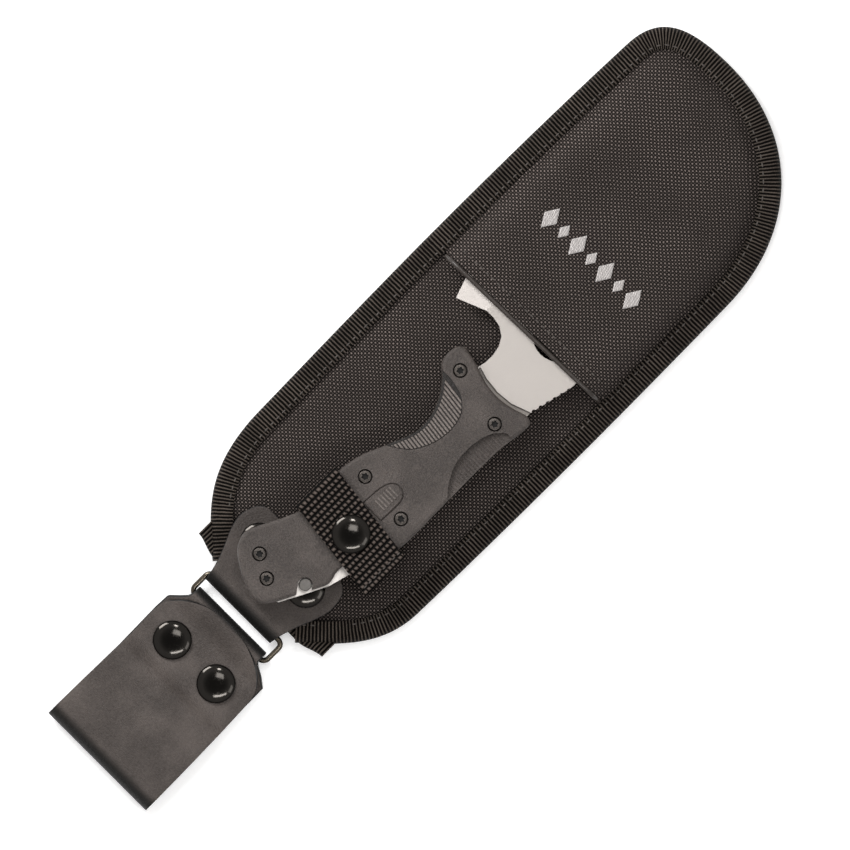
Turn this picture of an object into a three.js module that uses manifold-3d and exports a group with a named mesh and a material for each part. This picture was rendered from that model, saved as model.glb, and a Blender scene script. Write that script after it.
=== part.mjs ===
// A cleaver-headed multi tool in its padded belt sheath.
//
// The sheath lies on its back: +Z leaves its front, +Y runs to its closed tip and +X is to the right of
// somebody looking at the front. The origin is under the middle of the whole object, on the plane it rests on.
// The tool lies in the sheath at a small tilt, head low and handle high, and is drawn out towards -Y.
// All sizes are millimetres.

import * as THREE from "three";
import { mergeVertices } from "three/addons/utils/BufferGeometryUtils.js";
import Module from "manifold-3d";

const wasm = await Module();
wasm.setup();

// ---- Driving dimensions -----------------------------------------------------------------------------------

const HALF_LENGTH = 183.3; // origin to the sheath's tip, and to the belt loop's fold
const HALF_WIDTH = 51.2; // origin to the sheath's widest point
const GAP = 0.3; // air between two pieces that touch

const BINDING = { width: 9, wall: 1.6, bottomLeg: 1.9, top: 8.8, lowerTop: 7.5 };
const BACK = { bottom: 2.2, top: 3.3 };
const BOARD = { bottom: 3.6, top: 4.6 };
const BASE = { bottom: 4.9, rim: 6.0, top: 7.2 };
const POCKET = { rimBottom: 6.3, rimTop: 7.3, crown: 18.6, roof: 16.6, mouth: 54.5, mouthSlope: 0.024 };
const PANEL_INSET = BINDING.wall + GAP;
const STRIP = { left: -32.5, right: 35.5, top: -85.5, bottom: -95.5, low: 2.3, high: 7.5, wall: 1.2 };

const HANGER = { thickness: 2, front: 8.9, foldRadius: 3.95, foldY: -98.05, top: -60 };
const HANGER_SNAPS = [["left", -13.4], ["right", 12.2]];
const HANGER_SNAP_Y = -78;

const WIRE = 1.1; // radius of the ring's wire
const RING = { left: -20.1, right: 22.3, top: -99.7, topZ: 4.95, bottom: -110.1, bottomZ: 3.6, corner: 2.4 };

const LEATHER = 2.2; // thickness of the belt loop's leather
const BELT = { left: -24.5, right: 29.3, foldY: -177.8, foldRadius: 4.4, hemY: -138, snapY: -129 };
const BELT_SNAPS = [["left", -10.4], ["right", 13.7]];
const BELT_LEG = 3.6; // height of the middle of the folded-back leg
const BELT_FLAP = 6.2; // height of the middle of the flap where it is snapped shut

const SNAP = { radius: 7.65, height: 2.1, socket: 4.6, bore: 2.3, hole: 4.9, ball: 1.9 };

const WEBBING = 1.4; // thickness of the retention strap
const STRAP = { left: -13.4, right: 30.8, foot: 7.5, tab: 26.4, flap: 28.1, width: 21.5, tabEnd: 1.5, end: 31 };
const STRAP_EDGE = { x: -12.5, y: -36.5, slope: -0.125 };
const STRAP_SNAP = { x: 9.7, y: -50.5 };

const TOOL = { tilt: THREE.MathUtils.degToRad(2.5), y: 165, z: 9.3 };
const PLATE = { half: 1.75, edge: 0.2, tangEnd: -37.5, grind: -14.6, heelY: 48.3 };
const SCALE = { inner: 2.05, shoulder: 4.8, bevel: 6.2, outer: 6.8, recess: 3.3, butt: -38.7 };
const HEAD_HOLE = { x: 12.3, y: 61.5, radius: 10.4 };
const JIMPING = { count: 6, x: 26.4, y: 33.5, dx: 0.78, dy: 3.1, radius: 0.9 };
const GRIP_SCREWS = [[-5.3, 24.3], [19, 19], [-2.3, -31.2], [19.3, -33]];
const BUTT_SCREWS = [[-10.1, -81.7], [-1.3, -86.5]];
const SCREW = { head: 2.5, shank: 1.5, hole: 1.8, counterbore: 2.8, seat: 5.1, top: 6.5 };

const PIVOT = { x: -1.3, y: -86.5, barrel: 2.4, hole: 2.7, washer: 5.5 };
const BLADE = { half: 1.1, edge: 0.15, bevel: 4.5, tang: 7.3 };
const LINER = { inner: 2.0, outer: 3.0, inset: 1.2 };
const STUD = { x: 11, y: -77.5, radius: 2.3, top: 5.8, slot: 3.1 };

// ---- Solids and outlines ----------------------------------------------------------------------------------

const at = (x, y) => new THREE.Vector2(x, y);
const points = (pairs) => pairs.map(([x, y]) => at(x, y));

// A path's corners, with every curve on it cut into chords of about the given length.
function cornersOf(path, chord) {
  return path.curves.flatMap((curve) => {
    const straight = curve.isLineCurve === true;
    const chords = straight ? 1 : Math.max(3, Math.round(curve.getLength() / chord));
    return curve.getSpacedPoints(chords);
  });
}

// A shape's corners once round, counter-clockwise.
function outlineOf(shape, chord) {
  const corners = cornersOf(shape, chord);
  const kept = corners.filter((p, i) => p.distanceTo(corners[(i + 1) % corners.length]) > 1e-3);
  return THREE.ShapeUtils.isClockWise(kept) ? kept.reverse() : kept;
}

// The outline moved inwards by a distance, corner by corner.
function inset(outline, distance) {
  return outline.map((p, i) => {
    const before = outline[(i + outline.length - 1) % outline.length];
    const after = outline[(i + 1) % outline.length];
    const inwardBefore = p.clone().sub(before).normalize().rotateAround(at(0, 0), Math.PI / 2);
    const inwardAfter = after.clone().sub(p).normalize().rotateAround(at(0, 0), Math.PI / 2);
    const inward = inwardBefore.clone().add(inwardAfter).normalize();
    return p.clone().addScaledVector(inward, distance / Math.max(0.5, inward.dot(inwardBefore)));
  });
}

// A closed mesh through a stack of levels, each {outline, z}, all with equally many corners.
function loft(levels) {
  const count = levels[0].outline.length;
  const top = (levels.length - 1) * count;
  const index = [];
  for (let level = 0; level + 1 < levels.length; level++) {
    for (let i = 0; i < count; i++) {
      const a = level * count + i;
      const b = level * count + ((i + 1) % count);
      index.push(a, b, b + count, a, b + count, a + count);
    }
  }
  for (const [a, b, c] of THREE.ShapeUtils.triangulateShape(levels[0].outline, [])) index.push(a, c, b);
  for (const [a, b, c] of THREE.ShapeUtils.triangulateShape(levels[levels.length - 1].outline, [])) {
    index.push(top + a, top + b, top + c);
  }
  const geometry = new THREE.BufferGeometry();
  const xyz = levels.flatMap(({ outline, z }) => outline.flatMap((p) => [p.x, p.y, z]));
  geometry.setAttribute("position", new THREE.Float32BufferAttribute(xyz, 3));
  geometry.setIndex(index);
  return geometry;
}

// A closed mesh as a solid that can be joined and cut. Triangles that collapsed in the merge are left out,
// and a mesh that is inside out is turned the right way.
function solid(mesh) {
  const bare = mesh.clone();
  bare.deleteAttribute("normal");
  bare.deleteAttribute("uv");
  const merged = mergeVertices(bare, 1e-4);
  const xyz = Float32Array.from(merged.attributes.position.array);
  const corner = (i) => new THREE.Vector3().fromArray(xyz, 3 * i);
  const triangles = [];
  let volume = 0;
  for (let i = 0; i < merged.index.count; i += 3) {
    const [a, b, c] = [0, 1, 2].map((k) => merged.index.getX(i + k));
    if (a === b || b === c || c === a) continue;
    triangles.push([a, b, c]);
    volume += corner(a).dot(corner(b).cross(corner(c)));
  }
  const outward = volume > 0 ? triangles : triangles.map(([a, b, c]) => [a, c, b]);
  return new wasm.Manifold(new wasm.Mesh({
    numProp: 3,
    vertProperties: xyz,
    triVerts: Uint32Array.from(outward.flat()),
  }));
}

function geometryOf(body) {
  const { vertProperties, triVerts } = body.getMesh();
  const geometry = new THREE.BufferGeometry();
  geometry.setAttribute("position", new THREE.BufferAttribute(Float32Array.from(vertProperties), 3));
  geometry.setIndex(new THREE.BufferAttribute(Uint32Array.from(triVerts), 1));
  geometry.computeVertexNormals();
  return geometry;
}

const prism = (outline, low, high) => solid(loft([{ outline, z: low }, { outline, z: high }]));

function block(x0, x1, y0, y1, z0, z1) {
  const box = new THREE.BoxGeometry(x1 - x0, y1 - y0, z1 - z0);
  return solid(box.translate((x0 + x1) / 2, (y0 + y1) / 2, (z0 + z1) / 2));
}

function rod(x, y, radius, low, high, sides = 16) {
  const cylinder = new THREE.CylinderGeometry(radius, radius, high - low, sides);
  return solid(cylinder.rotateX(Math.PI / 2).translate(x, y, (low + high) / 2));
}

// A turned piece standing at x, y: its profile is pairs of radius and height that start and end on the axis.
function turned(x, y, z, profile, sides = 16) {
  const lathe = new THREE.LatheGeometry(points(profile), sides);
  return solid(lathe.rotateX(Math.PI / 2).translate(x, y, z));
}

function washer(x, y, outer, inner, low, high) {
  return rod(x, y, outer, low, high).subtract(rod(x, y, inner, low - 1, high + 1));
}

// A flat strip of material of one thickness, seen end on: the outline around its middle line.
function band(route, thickness) {
  const middle = route.filter((p, i) => i === 0 || p.distanceTo(route[i - 1]) > 1e-3);
  const side = (sign) => middle.map((p, i) => {
    const before = middle[Math.max(0, i - 1)];
    const after = middle[Math.min(middle.length - 1, i + 1)];
    const square = after.clone().sub(before).normalize().rotateAround(at(0, 0), Math.PI / 2);
    return p.clone().addScaledVector(square, (sign * thickness) / 2);
  });
  const outline = [...side(-1), ...side(1).reverse()];
  return THREE.ShapeUtils.isClockWise(outline) ? outline.reverse() : outline;
}

// A Y-Z outline drawn out along X.
function drawnAlongX(outline, x0, x1) {
  const along = new THREE.Matrix4().makeBasis(
    new THREE.Vector3(0, 1, 0), new THREE.Vector3(0, 0, 1), new THREE.Vector3(1, 0, 0));
  return solid(loft([{ outline, z: x0 }, { outline, z: x1 }]).applyMatrix4(along));
}

const united = (bodies) => bodies.reduce((all, body) => all.add(body));
const without = (body, cutters) => cutters.reduce((rest, cutter) => rest.subtract(cutter), body);

// ---- Materials and the scene graph ------------------------------------------------------------------------

const material = (color, roughness, metalness) =>
  () => new THREE.MeshStandardMaterial({ color, roughness, metalness });
const NYLON = material(0x1b1b1d, 0.9, 0);
const TAPE = material(0x202022, 0.8, 0);
const LINING_BOARD = material(0x2b2a29, 0.9, 0);
const HIDE = material(0x15130f, 0.55, 0);
const SNAP_METAL = material(0x2a2a2c, 0.25, 0.9);
const BARE_METAL = material(0xa9abad, 0.3, 1);
const TOOL_STEEL = material(0xb4b6b8, 0.32, 1);
const GRIP = material(0x141416, 0.6, 0);
const BRONZE = material(0xa88a55, 0.4, 1);

const object = new THREE.Group();
const tool = new THREE.Group();

function piece(name, body, look, parent = object) {
  const mesh = new THREE.Mesh(geometryOf(body), look());
  mesh.name = name;
  parent.add(mesh);
}

// ---- Sheath -----------------------------------------------------------------------------------------------

// The sheath seen from the front: rounded at the tip, fuller on the right, drawn in at the bottom.
function sheathOutline() {
  const shape = new THREE.Shape();
  shape.moveTo(23, -97);
  shape.bezierCurveTo(40, -82, 49, -72, 50, -55);
  shape.bezierCurveTo(50.8, -25, HALF_WIDTH, 5, HALF_WIDTH, 40);
  shape.bezierCurveTo(HALF_WIDTH, 70, 50.8, 100, 50.5, 118);
  shape.bezierCurveTo(49, 158, 22, HALF_LENGTH, -15, HALF_LENGTH);
  shape.bezierCurveTo(-38, HALF_LENGTH, -49, 178, -49.4, 160);
  shape.bezierCurveTo(-50.6, 130, -HALF_WIDTH, 95, -HALF_WIDTH, 60);
  shape.bezierCurveTo(-HALF_WIDTH, 25, -50.3, -10, -49.6, -45);
  shape.bezierCurveTo(-48, -72, -38, -82, -20, -97);
  return outlineOf(shape, 11);
}

const SHEATH = sheathOutline();

// The sheath's outline moved inwards: square to its edge as far as the binding reaches, and beyond that drawn
// towards its middle, so that tight corners don't cross themselves.
function sheathLevel(distance, z) {
  const outline = inset(SHEATH, Math.min(distance, BINDING.width));
  const more = Math.max(0, distance - BINDING.width);
  const { min, max } = new THREE.Box2().setFromPoints(outline);
  const middle = min.clone().add(max).multiplyScalar(0.5);
  const scale = at(1 - (2 * more) / (max.x - min.x), 1 - (2 * more) / (max.y - min.y));
  return { outline: outline.map((p) => p.clone().sub(middle).multiply(scale).add(middle)), z };
}
const aboveStrip = block(-60, 60, STRIP.top + GAP, 200, -1, 40);
const insideStrip = block(-60, 60, STRIP.bottom + STRIP.wall + GAP, 200, -1, 40);

// The two rivets that hold the hanger pass through every layer of the sheath.
const rivetHoles = HANGER_SNAPS.map(([, x]) => rod(x, HANGER_SNAP_Y, 2.2, -1, 12, 12));

function backPanel() {
  const panel = solid(loft([sheathLevel(PANEL_INSET, BACK.bottom), sheathLevel(PANEL_INSET, BACK.top)]));
  return without(panel.intersect(aboveStrip), rivetHoles);
}

function stiffenerBoard() {
  const board = solid(loft([sheathLevel(3, BOARD.bottom), sheathLevel(3, BOARD.top)]));
  return without(board.intersect(insideStrip), rivetHoles);
}

// The padded front of the back half: thin where it is bound, full in the middle.
function basePanel() {
  const panel = solid(loft([
    sheathLevel(PANEL_INSET, BASE.bottom),
    sheathLevel(PANEL_INSET, BASE.rim),
    sheathLevel(10.8, BASE.rim),
    sheathLevel(13, BASE.rim + 0.7),
    sheathLevel(17, BASE.top),
  ]));
  const underStrip = block(-60, 60, -120, STRIP.top + GAP, BASE.rim, 20);
  return without(panel.intersect(insideStrip), [...rivetHoles, underStrip]);
}

// Everything above the mouth line of the pocket, moved down by the given distance.
function beyondMouth(distance) {
  const low = POCKET.mouth - distance;
  const drop = 60 * POCKET.mouthSlope;
  return prism(points([[-60, low - drop], [60, low + drop], [60, 200], [-60, 200]]), 0, 40);
}

// A crowned shell over the head: high at the mouth, lower towards the tip.
function pocketShell() {
  const lowered = (levels) => {
    const geometry = loft(levels);
    const place = geometry.attributes.position;
    for (let i = 0; i < place.count; i++) {
      const rise = Math.max(0, place.getZ(i) - POCKET.rimTop);
      const share = 1 - (0.52 * (place.getY(i) - POCKET.mouth)) / (HALF_LENGTH - POCKET.mouth);
      if (rise > 0) place.setZ(i, POCKET.rimTop + rise * share);
    }
    return solid(geometry);
  };
  const outside = lowered([
    sheathLevel(PANEL_INSET, POCKET.rimBottom),
    sheathLevel(PANEL_INSET, POCKET.rimTop),
    sheathLevel(BINDING.width + GAP, POCKET.rimTop),
    sheathLevel(10, POCKET.rimTop + 4.2),
    sheathLevel(12.5, POCKET.crown - 3),
    sheathLevel(16.5, POCKET.crown - 1),
    sheathLevel(22, POCKET.crown),
  ]);
  const inside = lowered([
    sheathLevel(10.6, BASE.rim - 1),
    sheathLevel(10.6, POCKET.rimTop),
    sheathLevel(11.3, POCKET.roof - 5),
    sheathLevel(13.2, POCKET.roof - 1.8),
    sheathLevel(18, POCKET.roof - 0.3),
    sheathLevel(23, POCKET.roof),
  ]);
  return outside.subtract(inside);
}

// The folded tape around the edge, a channel that holds the edges of all the panels.
function edgeBinding() {
  const ring = prism(SHEATH, 0, BINDING.top);
  const channel = prism(inset(SHEATH, BINDING.wall), BINDING.bottomLeg, BINDING.top - 1.2);
  const window = prism(inset(SHEATH, BINDING.width), -1, BINDING.top + 1);
  const lowerLeg = BINDING.lowerTop - 1.2;
  const step = POCKET.mouth - 3.6;
  const lower = block(-60, 60, -120, step, BINDING.lowerTop, 20);
  const upperChannel = channel.intersect(block(-60, 60, step - GAP, 200, 0, 20));
  const lowerChannel = channel.intersect(block(-60, 60, -120, step, 0, lowerLeg));
  const underHanger = prism(inset(hangerPlan(), -GAP), -1, BACK.bottom);
  return without(ring, [window, upperChannel, lowerChannel, lower, underHanger]).intersect(aboveStrip);
}

// The tape across the bottom, wrapped over the ends of the edge binding's sides.
function bottomBinding() {
  const { left, right, top, bottom, low, high, wall } = STRIP;
  const outline = points([
    [left, top - 2.5], [left + 1.5, bottom + 2.5], [left + 10.5, bottom - 1], [right - 8.5, bottom - 1],
    [right, bottom + 2], [right, top],
    [left, top],
  ]);
  const tape = prism(THREE.ShapeUtils.isClockWise(outline) ? outline.reverse() : outline, low, high);
  const channel = block(-60, 60, bottom + wall, top + 5, low + 1.1, high - 1.2);
  return without(tape, [channel, ...rivetHoles]);
}

piece("back_panel", backPanel(), NYLON);
piece("stiffener_board", stiffenerBoard(), LINING_BOARD);
piece("base_panel", basePanel(), NYLON);
piece("edge_binding", edgeBinding(), TAPE);
piece("bottom_binding", bottomBinding(), TAPE);
const shell = pocketShell();
piece("pocket_front", shell.intersect(beyondMouth(0)), NYLON);
piece("mouth_trim", shell.intersect(beyondMouth(1.9).subtract(beyondMouth(GAP))), GRIP);

// ---- Snaps ------------------------------------------------------------------------------------------------

function snapCap(x, y, z) {
  const { radius, height } = SNAP;
  return turned(x, y, z, [
    [0, 0], [radius, 0], [radius, 0.5], [radius - 0.6, 1.1], [radius * 0.72, height - 0.4],
    [radius * 0.4, height - 0.05], [0, height],
  ], 24);
}

// The spring half of a snap, let into the leather or webbing.
const snapSocket = (x, y, low, high) => washer(x, y, SNAP.socket, SNAP.bore, low, high);

// ---- Leather hanger ---------------------------------------------------------------------------------------

function hangerPlan() {
  const shape = new THREE.Shape();
  shape.moveTo(17.2, -110);
  shape.lineTo(17.2, -102.5);
  shape.splineThru(points([[18.6, -97], [21, -90], [23.6, -83.5], [25.2, -77], [24.4, -70.5], [21, -67]]));
  shape.quadraticCurveTo(19.5, -66, 17, -66);
  shape.lineTo(-17.5, -66);
  shape.quadraticCurveTo(-20, -66, -22, -67.4);
  shape.splineThru(points([[-25, -70.5], [-26.2, -76], [-25, -82], [-22, -89], [-19.6, -95.5], [-17.8, -102.5]]));
  shape.lineTo(-17.8, -110);
  return outlineOf(shape, 3);
}

function hangerLeather() {
  const { thickness, front, foldRadius, foldY, top } = HANGER;
  const middle = new THREE.Path();
  middle.moveTo(top, front);
  middle.lineTo(foldY, front);
  middle.absarc(foldY, front - foldRadius, foldRadius, Math.PI / 2, (3 * Math.PI) / 2, false);
  middle.lineTo(top, thickness / 2);
  const folded = drawnAlongX(band(cornersOf(middle, 1.3), thickness), -40, 40);
  const recesses = HANGER_SNAPS.map(([, x]) => rod(x, HANGER_SNAP_Y, 4.8, -1, 1.2));
  return without(folded.intersect(prism(hangerPlan(), -1, 12)), [...rivetHoles, ...recesses]);
}

piece("hanger_leather", hangerLeather(), HIDE);
const hangerTop = HANGER.front + HANGER.thickness / 2;
for (const [side, x] of HANGER_SNAPS) {
  const rivet = turned(x, HANGER_SNAP_Y, 0.1, [[0, 0], [4.5, 0], [4.5, 0.8], [1.9, 0.8], [1.9, 9.7], [0, 9.7]]);
  piece(`hanger_rivet_${side}`, rivet, BARE_METAL);
  piece(`hanger_cap_${side}`, snapCap(x, HANGER_SNAP_Y, hangerTop + GAP), SNAP_METAL);
}

// ---- Wire ring --------------------------------------------------------------------------------------------

// A rectangle of round wire with rounded corners, lying between the hanger's fold and the belt loop's.
function ring() {
  const { left, right, top, topZ, bottom, bottomZ, corner } = RING;
  const span = Math.hypot(top - bottom, topZ - bottomZ);
  const place = (x, y) => new THREE.Vector3(x, y, 0);
  const route = new THREE.CurvePath();
  const corners = [
    [place(left, 0), 0, -1], [place(left, -span), 1, 0], [place(right, -span), 0, 1], [place(right, 0), -1, 0],
  ];
  let last = place(left + corner, 0);
  for (const [tip, dx, dy] of corners) {
    const before = tip.clone().add(place(-dy, dx).multiplyScalar(-corner).negate());
    const entry = last.distanceTo(before) < 1e-6 ? last : before;
    if (entry !== last) route.add(new THREE.LineCurve3(last, entry));
    last = tip.clone().add(place(dx, dy).multiplyScalar(corner));
    route.add(new THREE.QuadraticBezierCurve3(entry, tip, last));
  }
  route.add(new THREE.LineCurve3(last, place(left + corner, 0)));
  const tube = new THREE.TubeGeometry(route, 44, WIRE, 8, true);
  return solid(tube.rotateX(Math.atan2(topZ - bottomZ, top - bottom)).translate(0, top, topZ));
}

piece("ring", ring(), BARE_METAL);

// ---- Belt loop --------------------------------------------------------------------------------------------

const beltLegTop = BELT_LEG + LEATHER / 2;
const beltFlapTop = BELT_FLAP + LEATHER / 2;
const studHoles = BELT_SNAPS.map(([, x]) => rod(x, BELT.snapY, 2.2, -1, beltLegTop + 1, 12));

// The rear strip: it turns up into the bottom fold at one end, and at the other it wraps around the ring's
// lower bar and comes back to be riveted to itself.
function beltRear() {
  const middle = new THREE.Path();
  const { foldY, foldRadius, hemY, left, right } = BELT;
  const floor = LEATHER / 2;
  const barRadius = RING.bottomZ - floor;
  middle.moveTo(foldY, floor + 2 * foldRadius);
  middle.absarc(foldY, floor + foldRadius, foldRadius, Math.PI / 2, (3 * Math.PI) / 2, false);
  middle.lineTo(RING.bottom, floor);
  middle.absarc(RING.bottom, RING.bottomZ, barRadius, -Math.PI / 2, Math.PI / 2, false);
  middle.lineTo(RING.bottom - 1.4, RING.bottomZ + barRadius);
  middle.lineTo(RING.bottom - 8.4, BELT_LEG);
  middle.lineTo(hemY, BELT_LEG);
  const folded = drawnAlongX(band(cornersOf(middle, 1.3), LEATHER), -40, 40);
  const shape = new THREE.Shape();
  shape.moveTo(-17.6, -100);
  shape.lineTo(-17.6, -109.5);
  shape.quadraticCurveTo(-18.4, -112.2, -24, -117.8);
  shape.bezierCurveTo(-24.6, -124, -23.6, -145, left, -178);
  shape.lineTo(left, -190);
  shape.lineTo(right, -190);
  shape.lineTo(right, -178);
  shape.bezierCurveTo(29, -150, 28.2, -130, 28, -117.5);
  shape.quadraticCurveTo(21, -112, 19.8, -109.5);
  shape.lineTo(19.8, -100);
  const recesses = BELT_SNAPS.map(([, x]) => rod(x, BELT.snapY, 4.8, -1, 1.2));
  const seats = BELT_SNAPS.map(([, x]) => rod(x, BELT.snapY, SNAP.hole, BELT_LEG + 0.1, beltLegTop + 0.2));
  return without(folded.intersect(prism(outlineOf(shape, 4), -1, 20)), [...studHoles, ...recesses, ...seats]);
}

// The front flap, from the bottom fold up to its round end over the ring.
function beltFlap() {
  const { foldY, foldRadius, left, right } = BELT;
  const high = LEATHER / 2 + 2 * foldRadius;
  const middle = new THREE.Path();
  middle.moveTo(foldY + GAP, high);
  middle.lineTo(-148, high);
  middle.bezierCurveTo(-144, high, -143, BELT_FLAP, -139, BELT_FLAP);
  middle.lineTo(-119.5, BELT_FLAP);
  middle.bezierCurveTo(-116, BELT_FLAP + 0.6, -113, BELT_FLAP + 2.8, -110, BELT_FLAP + 2.9);
  middle.lineTo(-107, BELT_FLAP + 2.9);
  const shape = new THREE.Shape();
  shape.moveTo(right, -190);
  shape.lineTo(right, -178);
  shape.bezierCurveTo(29.2, -150, 28.6, -135, 28, -123.5);
  shape.bezierCurveTo(22, -113, 10, -108.7, 0, -108.7);
  shape.bezierCurveTo(-9, -108.7, -18, -115, -24.3, -122);
  shape.bezierCurveTo(-23.4, -142, -24, -155, left, -178);
  shape.lineTo(left, -190);
  const folded = drawnAlongX(band(cornersOf(middle, 2), LEATHER), -40, 40);
  const holes = BELT_SNAPS.map(([, x]) => rod(x, BELT.snapY, SNAP.hole, 0, 12));
  return without(folded.intersect(prism(outlineOf(shape, 4), -1, 20)), holes);
}

piece("belt_rear", beltRear(), HIDE);
piece("belt_flap", beltFlap(), HIDE);
for (const [side, x] of BELT_SNAPS) {
  const stud = turned(x, BELT.snapY, 0.1, [
    [0, 0], [4.5, 0], [4.5, 0.8], [1.9, 0.8], [1.9, 3.9], [4.5, 3.9], [4.5, 4.5], [1.6, 4.5],
    [SNAP.ball, 5.8], [1.6, 6.7], [0, 6.9],
  ]);
  piece(`belt_stud_${side}`, stud, BARE_METAL);
  piece(`belt_socket_${side}`, snapSocket(x, BELT.snapY, beltFlapTop - 2.1, beltFlapTop - 0.2), BARE_METAL);
  piece(`belt_cap_${side}`, snapCap(x, BELT.snapY, beltFlapTop + GAP), SNAP_METAL);
}

// ---- Retention strap --------------------------------------------------------------------------------------

// A stretch of the strap between two places along X, as a slanted band seen from the front.
function strapPlan(x0, x1) {
  const edge = (x) => STRAP_EDGE.y + (x - STRAP_EDGE.x) * STRAP_EDGE.slope;
  return points([[x0, edge(x0) - STRAP.width], [x1, edge(x1) - STRAP.width], [x1, edge(x1)], [x0, edge(x0)]]);
}

function strap() {
  const { left, right, foot, tab, flap, tabEnd, end } = STRAP;
  const snapHole = (low) => rod(STRAP_SNAP.x, STRAP_SNAP.y, SNAP.hole, low - 1, low + WEBBING + 0.2);
  const { x, y } = STRAP_SNAP;
  piece("strap_left_riser", prism(strapPlan(left, left + WEBBING), foot, flap - GAP), NYLON);
  piece("strap_flap", prism(strapPlan(left, end), flap, flap + WEBBING).subtract(snapHole(flap)), NYLON);
  piece("strap_socket", snapSocket(x, y, flap + 0.1, flap + WEBBING - 0.1), BARE_METAL);
  piece("strap_cap", snapCap(x, y, flap + WEBBING + GAP), SNAP_METAL);
  piece("strap_right_riser", prism(strapPlan(right - WEBBING, right), foot, tab - GAP), NYLON);
  piece("strap_tab", prism(strapPlan(tabEnd, right), tab, tab + WEBBING).subtract(snapHole(tab)), NYLON);
  const stud = turned(x, y, tab + 0.1, [
    [0, 0], [SNAP.socket, 0], [SNAP.socket, 1.2], [1.6, 1.2], [SNAP.ball, 2.1], [1.6, 2.8], [0, 2.9],
  ]);
  piece("strap_stud", stud, BARE_METAL);
}

strap();

// ---- Tool: axe head ---------------------------------------------------------------------------------------

const holesFor = (screws) => screws.map(([x, y]) => rod(x, y, SCREW.hole, -9, 9, 12));

// The head and its tang: a broad cleaver with a rounded edge, a finger notch under the heel and a straight
// spine. The tang runs down inside the grip.
function headOutline() {
  const shape = new THREE.Shape();
  shape.moveTo(24, PLATE.tangEnd);
  shape.lineTo(24.3, 10);
  shape.lineTo(25.5, 31);
  shape.lineTo(30, 50);
  shape.bezierCurveTo(31.2, 70, 31.5, 85, 31.5, 100);
  shape.bezierCurveTo(31.5, 138, 10, 164, -14, 166.5);
  shape.bezierCurveTo(-22, 167.5, -28, 165, -30.5, 158);
  shape.bezierCurveTo(-37, 138, -38.5, 100, -34.3, 66);
  shape.lineTo(-26.5, 43.5);
  shape.splineThru(points([[-20, 46.8], [-13, 48.5], [-5, 46.8], [-1, 41], [-0.6, 34], [-1.6, 29.6]]));
  shape.splineThru(points([[-7, 27], [-7.4, 23], [-2.5, 17], [1.5, 10], [3, 1], [1.6, -10], [-3.5, -22]]));
  shape.lineTo(-6.5, -31);
  shape.lineTo(-7, PLATE.tangEnd);
  return outlineOf(shape, 4);
}

// The flat of the head, short of the ground edge.
function flatOutline(outline) {
  return outline.map((p) => {
    if (p.y < 40 || p.x > PLATE.grind) return p;
    const along = THREE.MathUtils.clamp((p.y - PLATE.heelY) / 110, 0, 1);
    return at(Math.max(p.x, PLATE.grind - 8 * along * along), Math.max(p.y, PLATE.heelY));
  });
}

function headPlate() {
  const outline = headOutline();
  const flat = flatOutline(outline);
  const plate = solid(loft([
    { outline: flat, z: -PLATE.half },
    { outline, z: -PLATE.edge },
    { outline, z: PLATE.edge },
    { outline: flat, z: PLATE.half },
  ]));
  const notches = Array.from({ length: JIMPING.count }, (_, i) =>
    rod(JIMPING.x + i * JIMPING.dx, JIMPING.y + i * JIMPING.dy, JIMPING.radius, -3, 3, 10));
  const { x, y, radius } = HEAD_HOLE;
  return without(plate, [...holesFor(GRIP_SCREWS), ...notches, rod(x, y, radius, -3, 3, 28)]);
}

piece("head_plate", headPlate(), TOOL_STEEL, tool);

// ---- Tool: handle -----------------------------------------------------------------------------------------

// The handle seen from the front: a guard lobe at the head end, a waist for the thumb, straight on the right,
// and a butt that flares to the left.
function handleOutline() {
  const shape = new THREE.Shape();
  shape.moveTo(-10.5, 32.3);
  shape.splineThru(points([[-12.9, 30], [-13.6, 25.5], [-12.3, 21.2], [-8, 17.3], [-3.5, 11], [-0.7, 3],
    [-0.7, -5], [-4.5, -15], [-9.2, -26], [-11, -35], [-11.1, -46], [-10.7, -57]]));
  shape.splineThru(points([[-13.5, -65], [-18.8, -75.5], [-20.2, -80.5], [-17.6, -86.3], [-11, -91.3],
    [-4, -94.5], [1.6, -95.7], [5.2, -94]]));
  shape.lineTo(9, -89);
  shape.lineTo(13, -81);
  shape.lineTo(17.4, -72.5);
  shape.splineThru(points([[17.4, -69], [16.2, -65], [17.2, -59.5], [21.5, -53], [25.5, -46.5], [27.4, -38],
    [27.3, -20], [27.1, 0], [27.4, 14], [28.4, 21], [28.9, 26]]));
  shape.quadraticCurveTo(29, 30, 25.5, 30.1);
  shape.splineThru(points([[18, 28], [11, 27.3], [4, 28.3], [-3, 30.7], [-10.5, 32.3]]));
  return outlineOf(shape, 3.2);
}

const HANDLE = handleOutline();

// The thumb's way to the stud, and the way that the stud leaves by as the blade opens.
function studSlot() {
  const { x, y, slot } = STUD;
  const out = at(Math.sin(0.62), -Math.cos(0.62)).multiplyScalar(11);
  const aside = at(out.y, -out.x).normalize().multiplyScalar(slot);
  const way = [at(x, y).add(aside), at(x, y).sub(aside), at(x, y).sub(aside).add(out), at(x, y).add(aside).add(out)];
  const outline = THREE.ShapeUtils.isClockWise(way) ? way.reverse() : way;
  return prism(outline, 0.5, 9).add(rod(x, y, slot, 0.5, 9));
}

// A scallop that the thumb or finger rests in, cut into the face along an edge of the grip.
function scallop(pairs, side) {
  const shape = new THREE.Shape(points(pairs));
  const [low, high] = side > 0 ? [5.6, 8] : [-8, -5.6];
  return prism(outlineOf(shape, 2), low, high);
}

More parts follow.
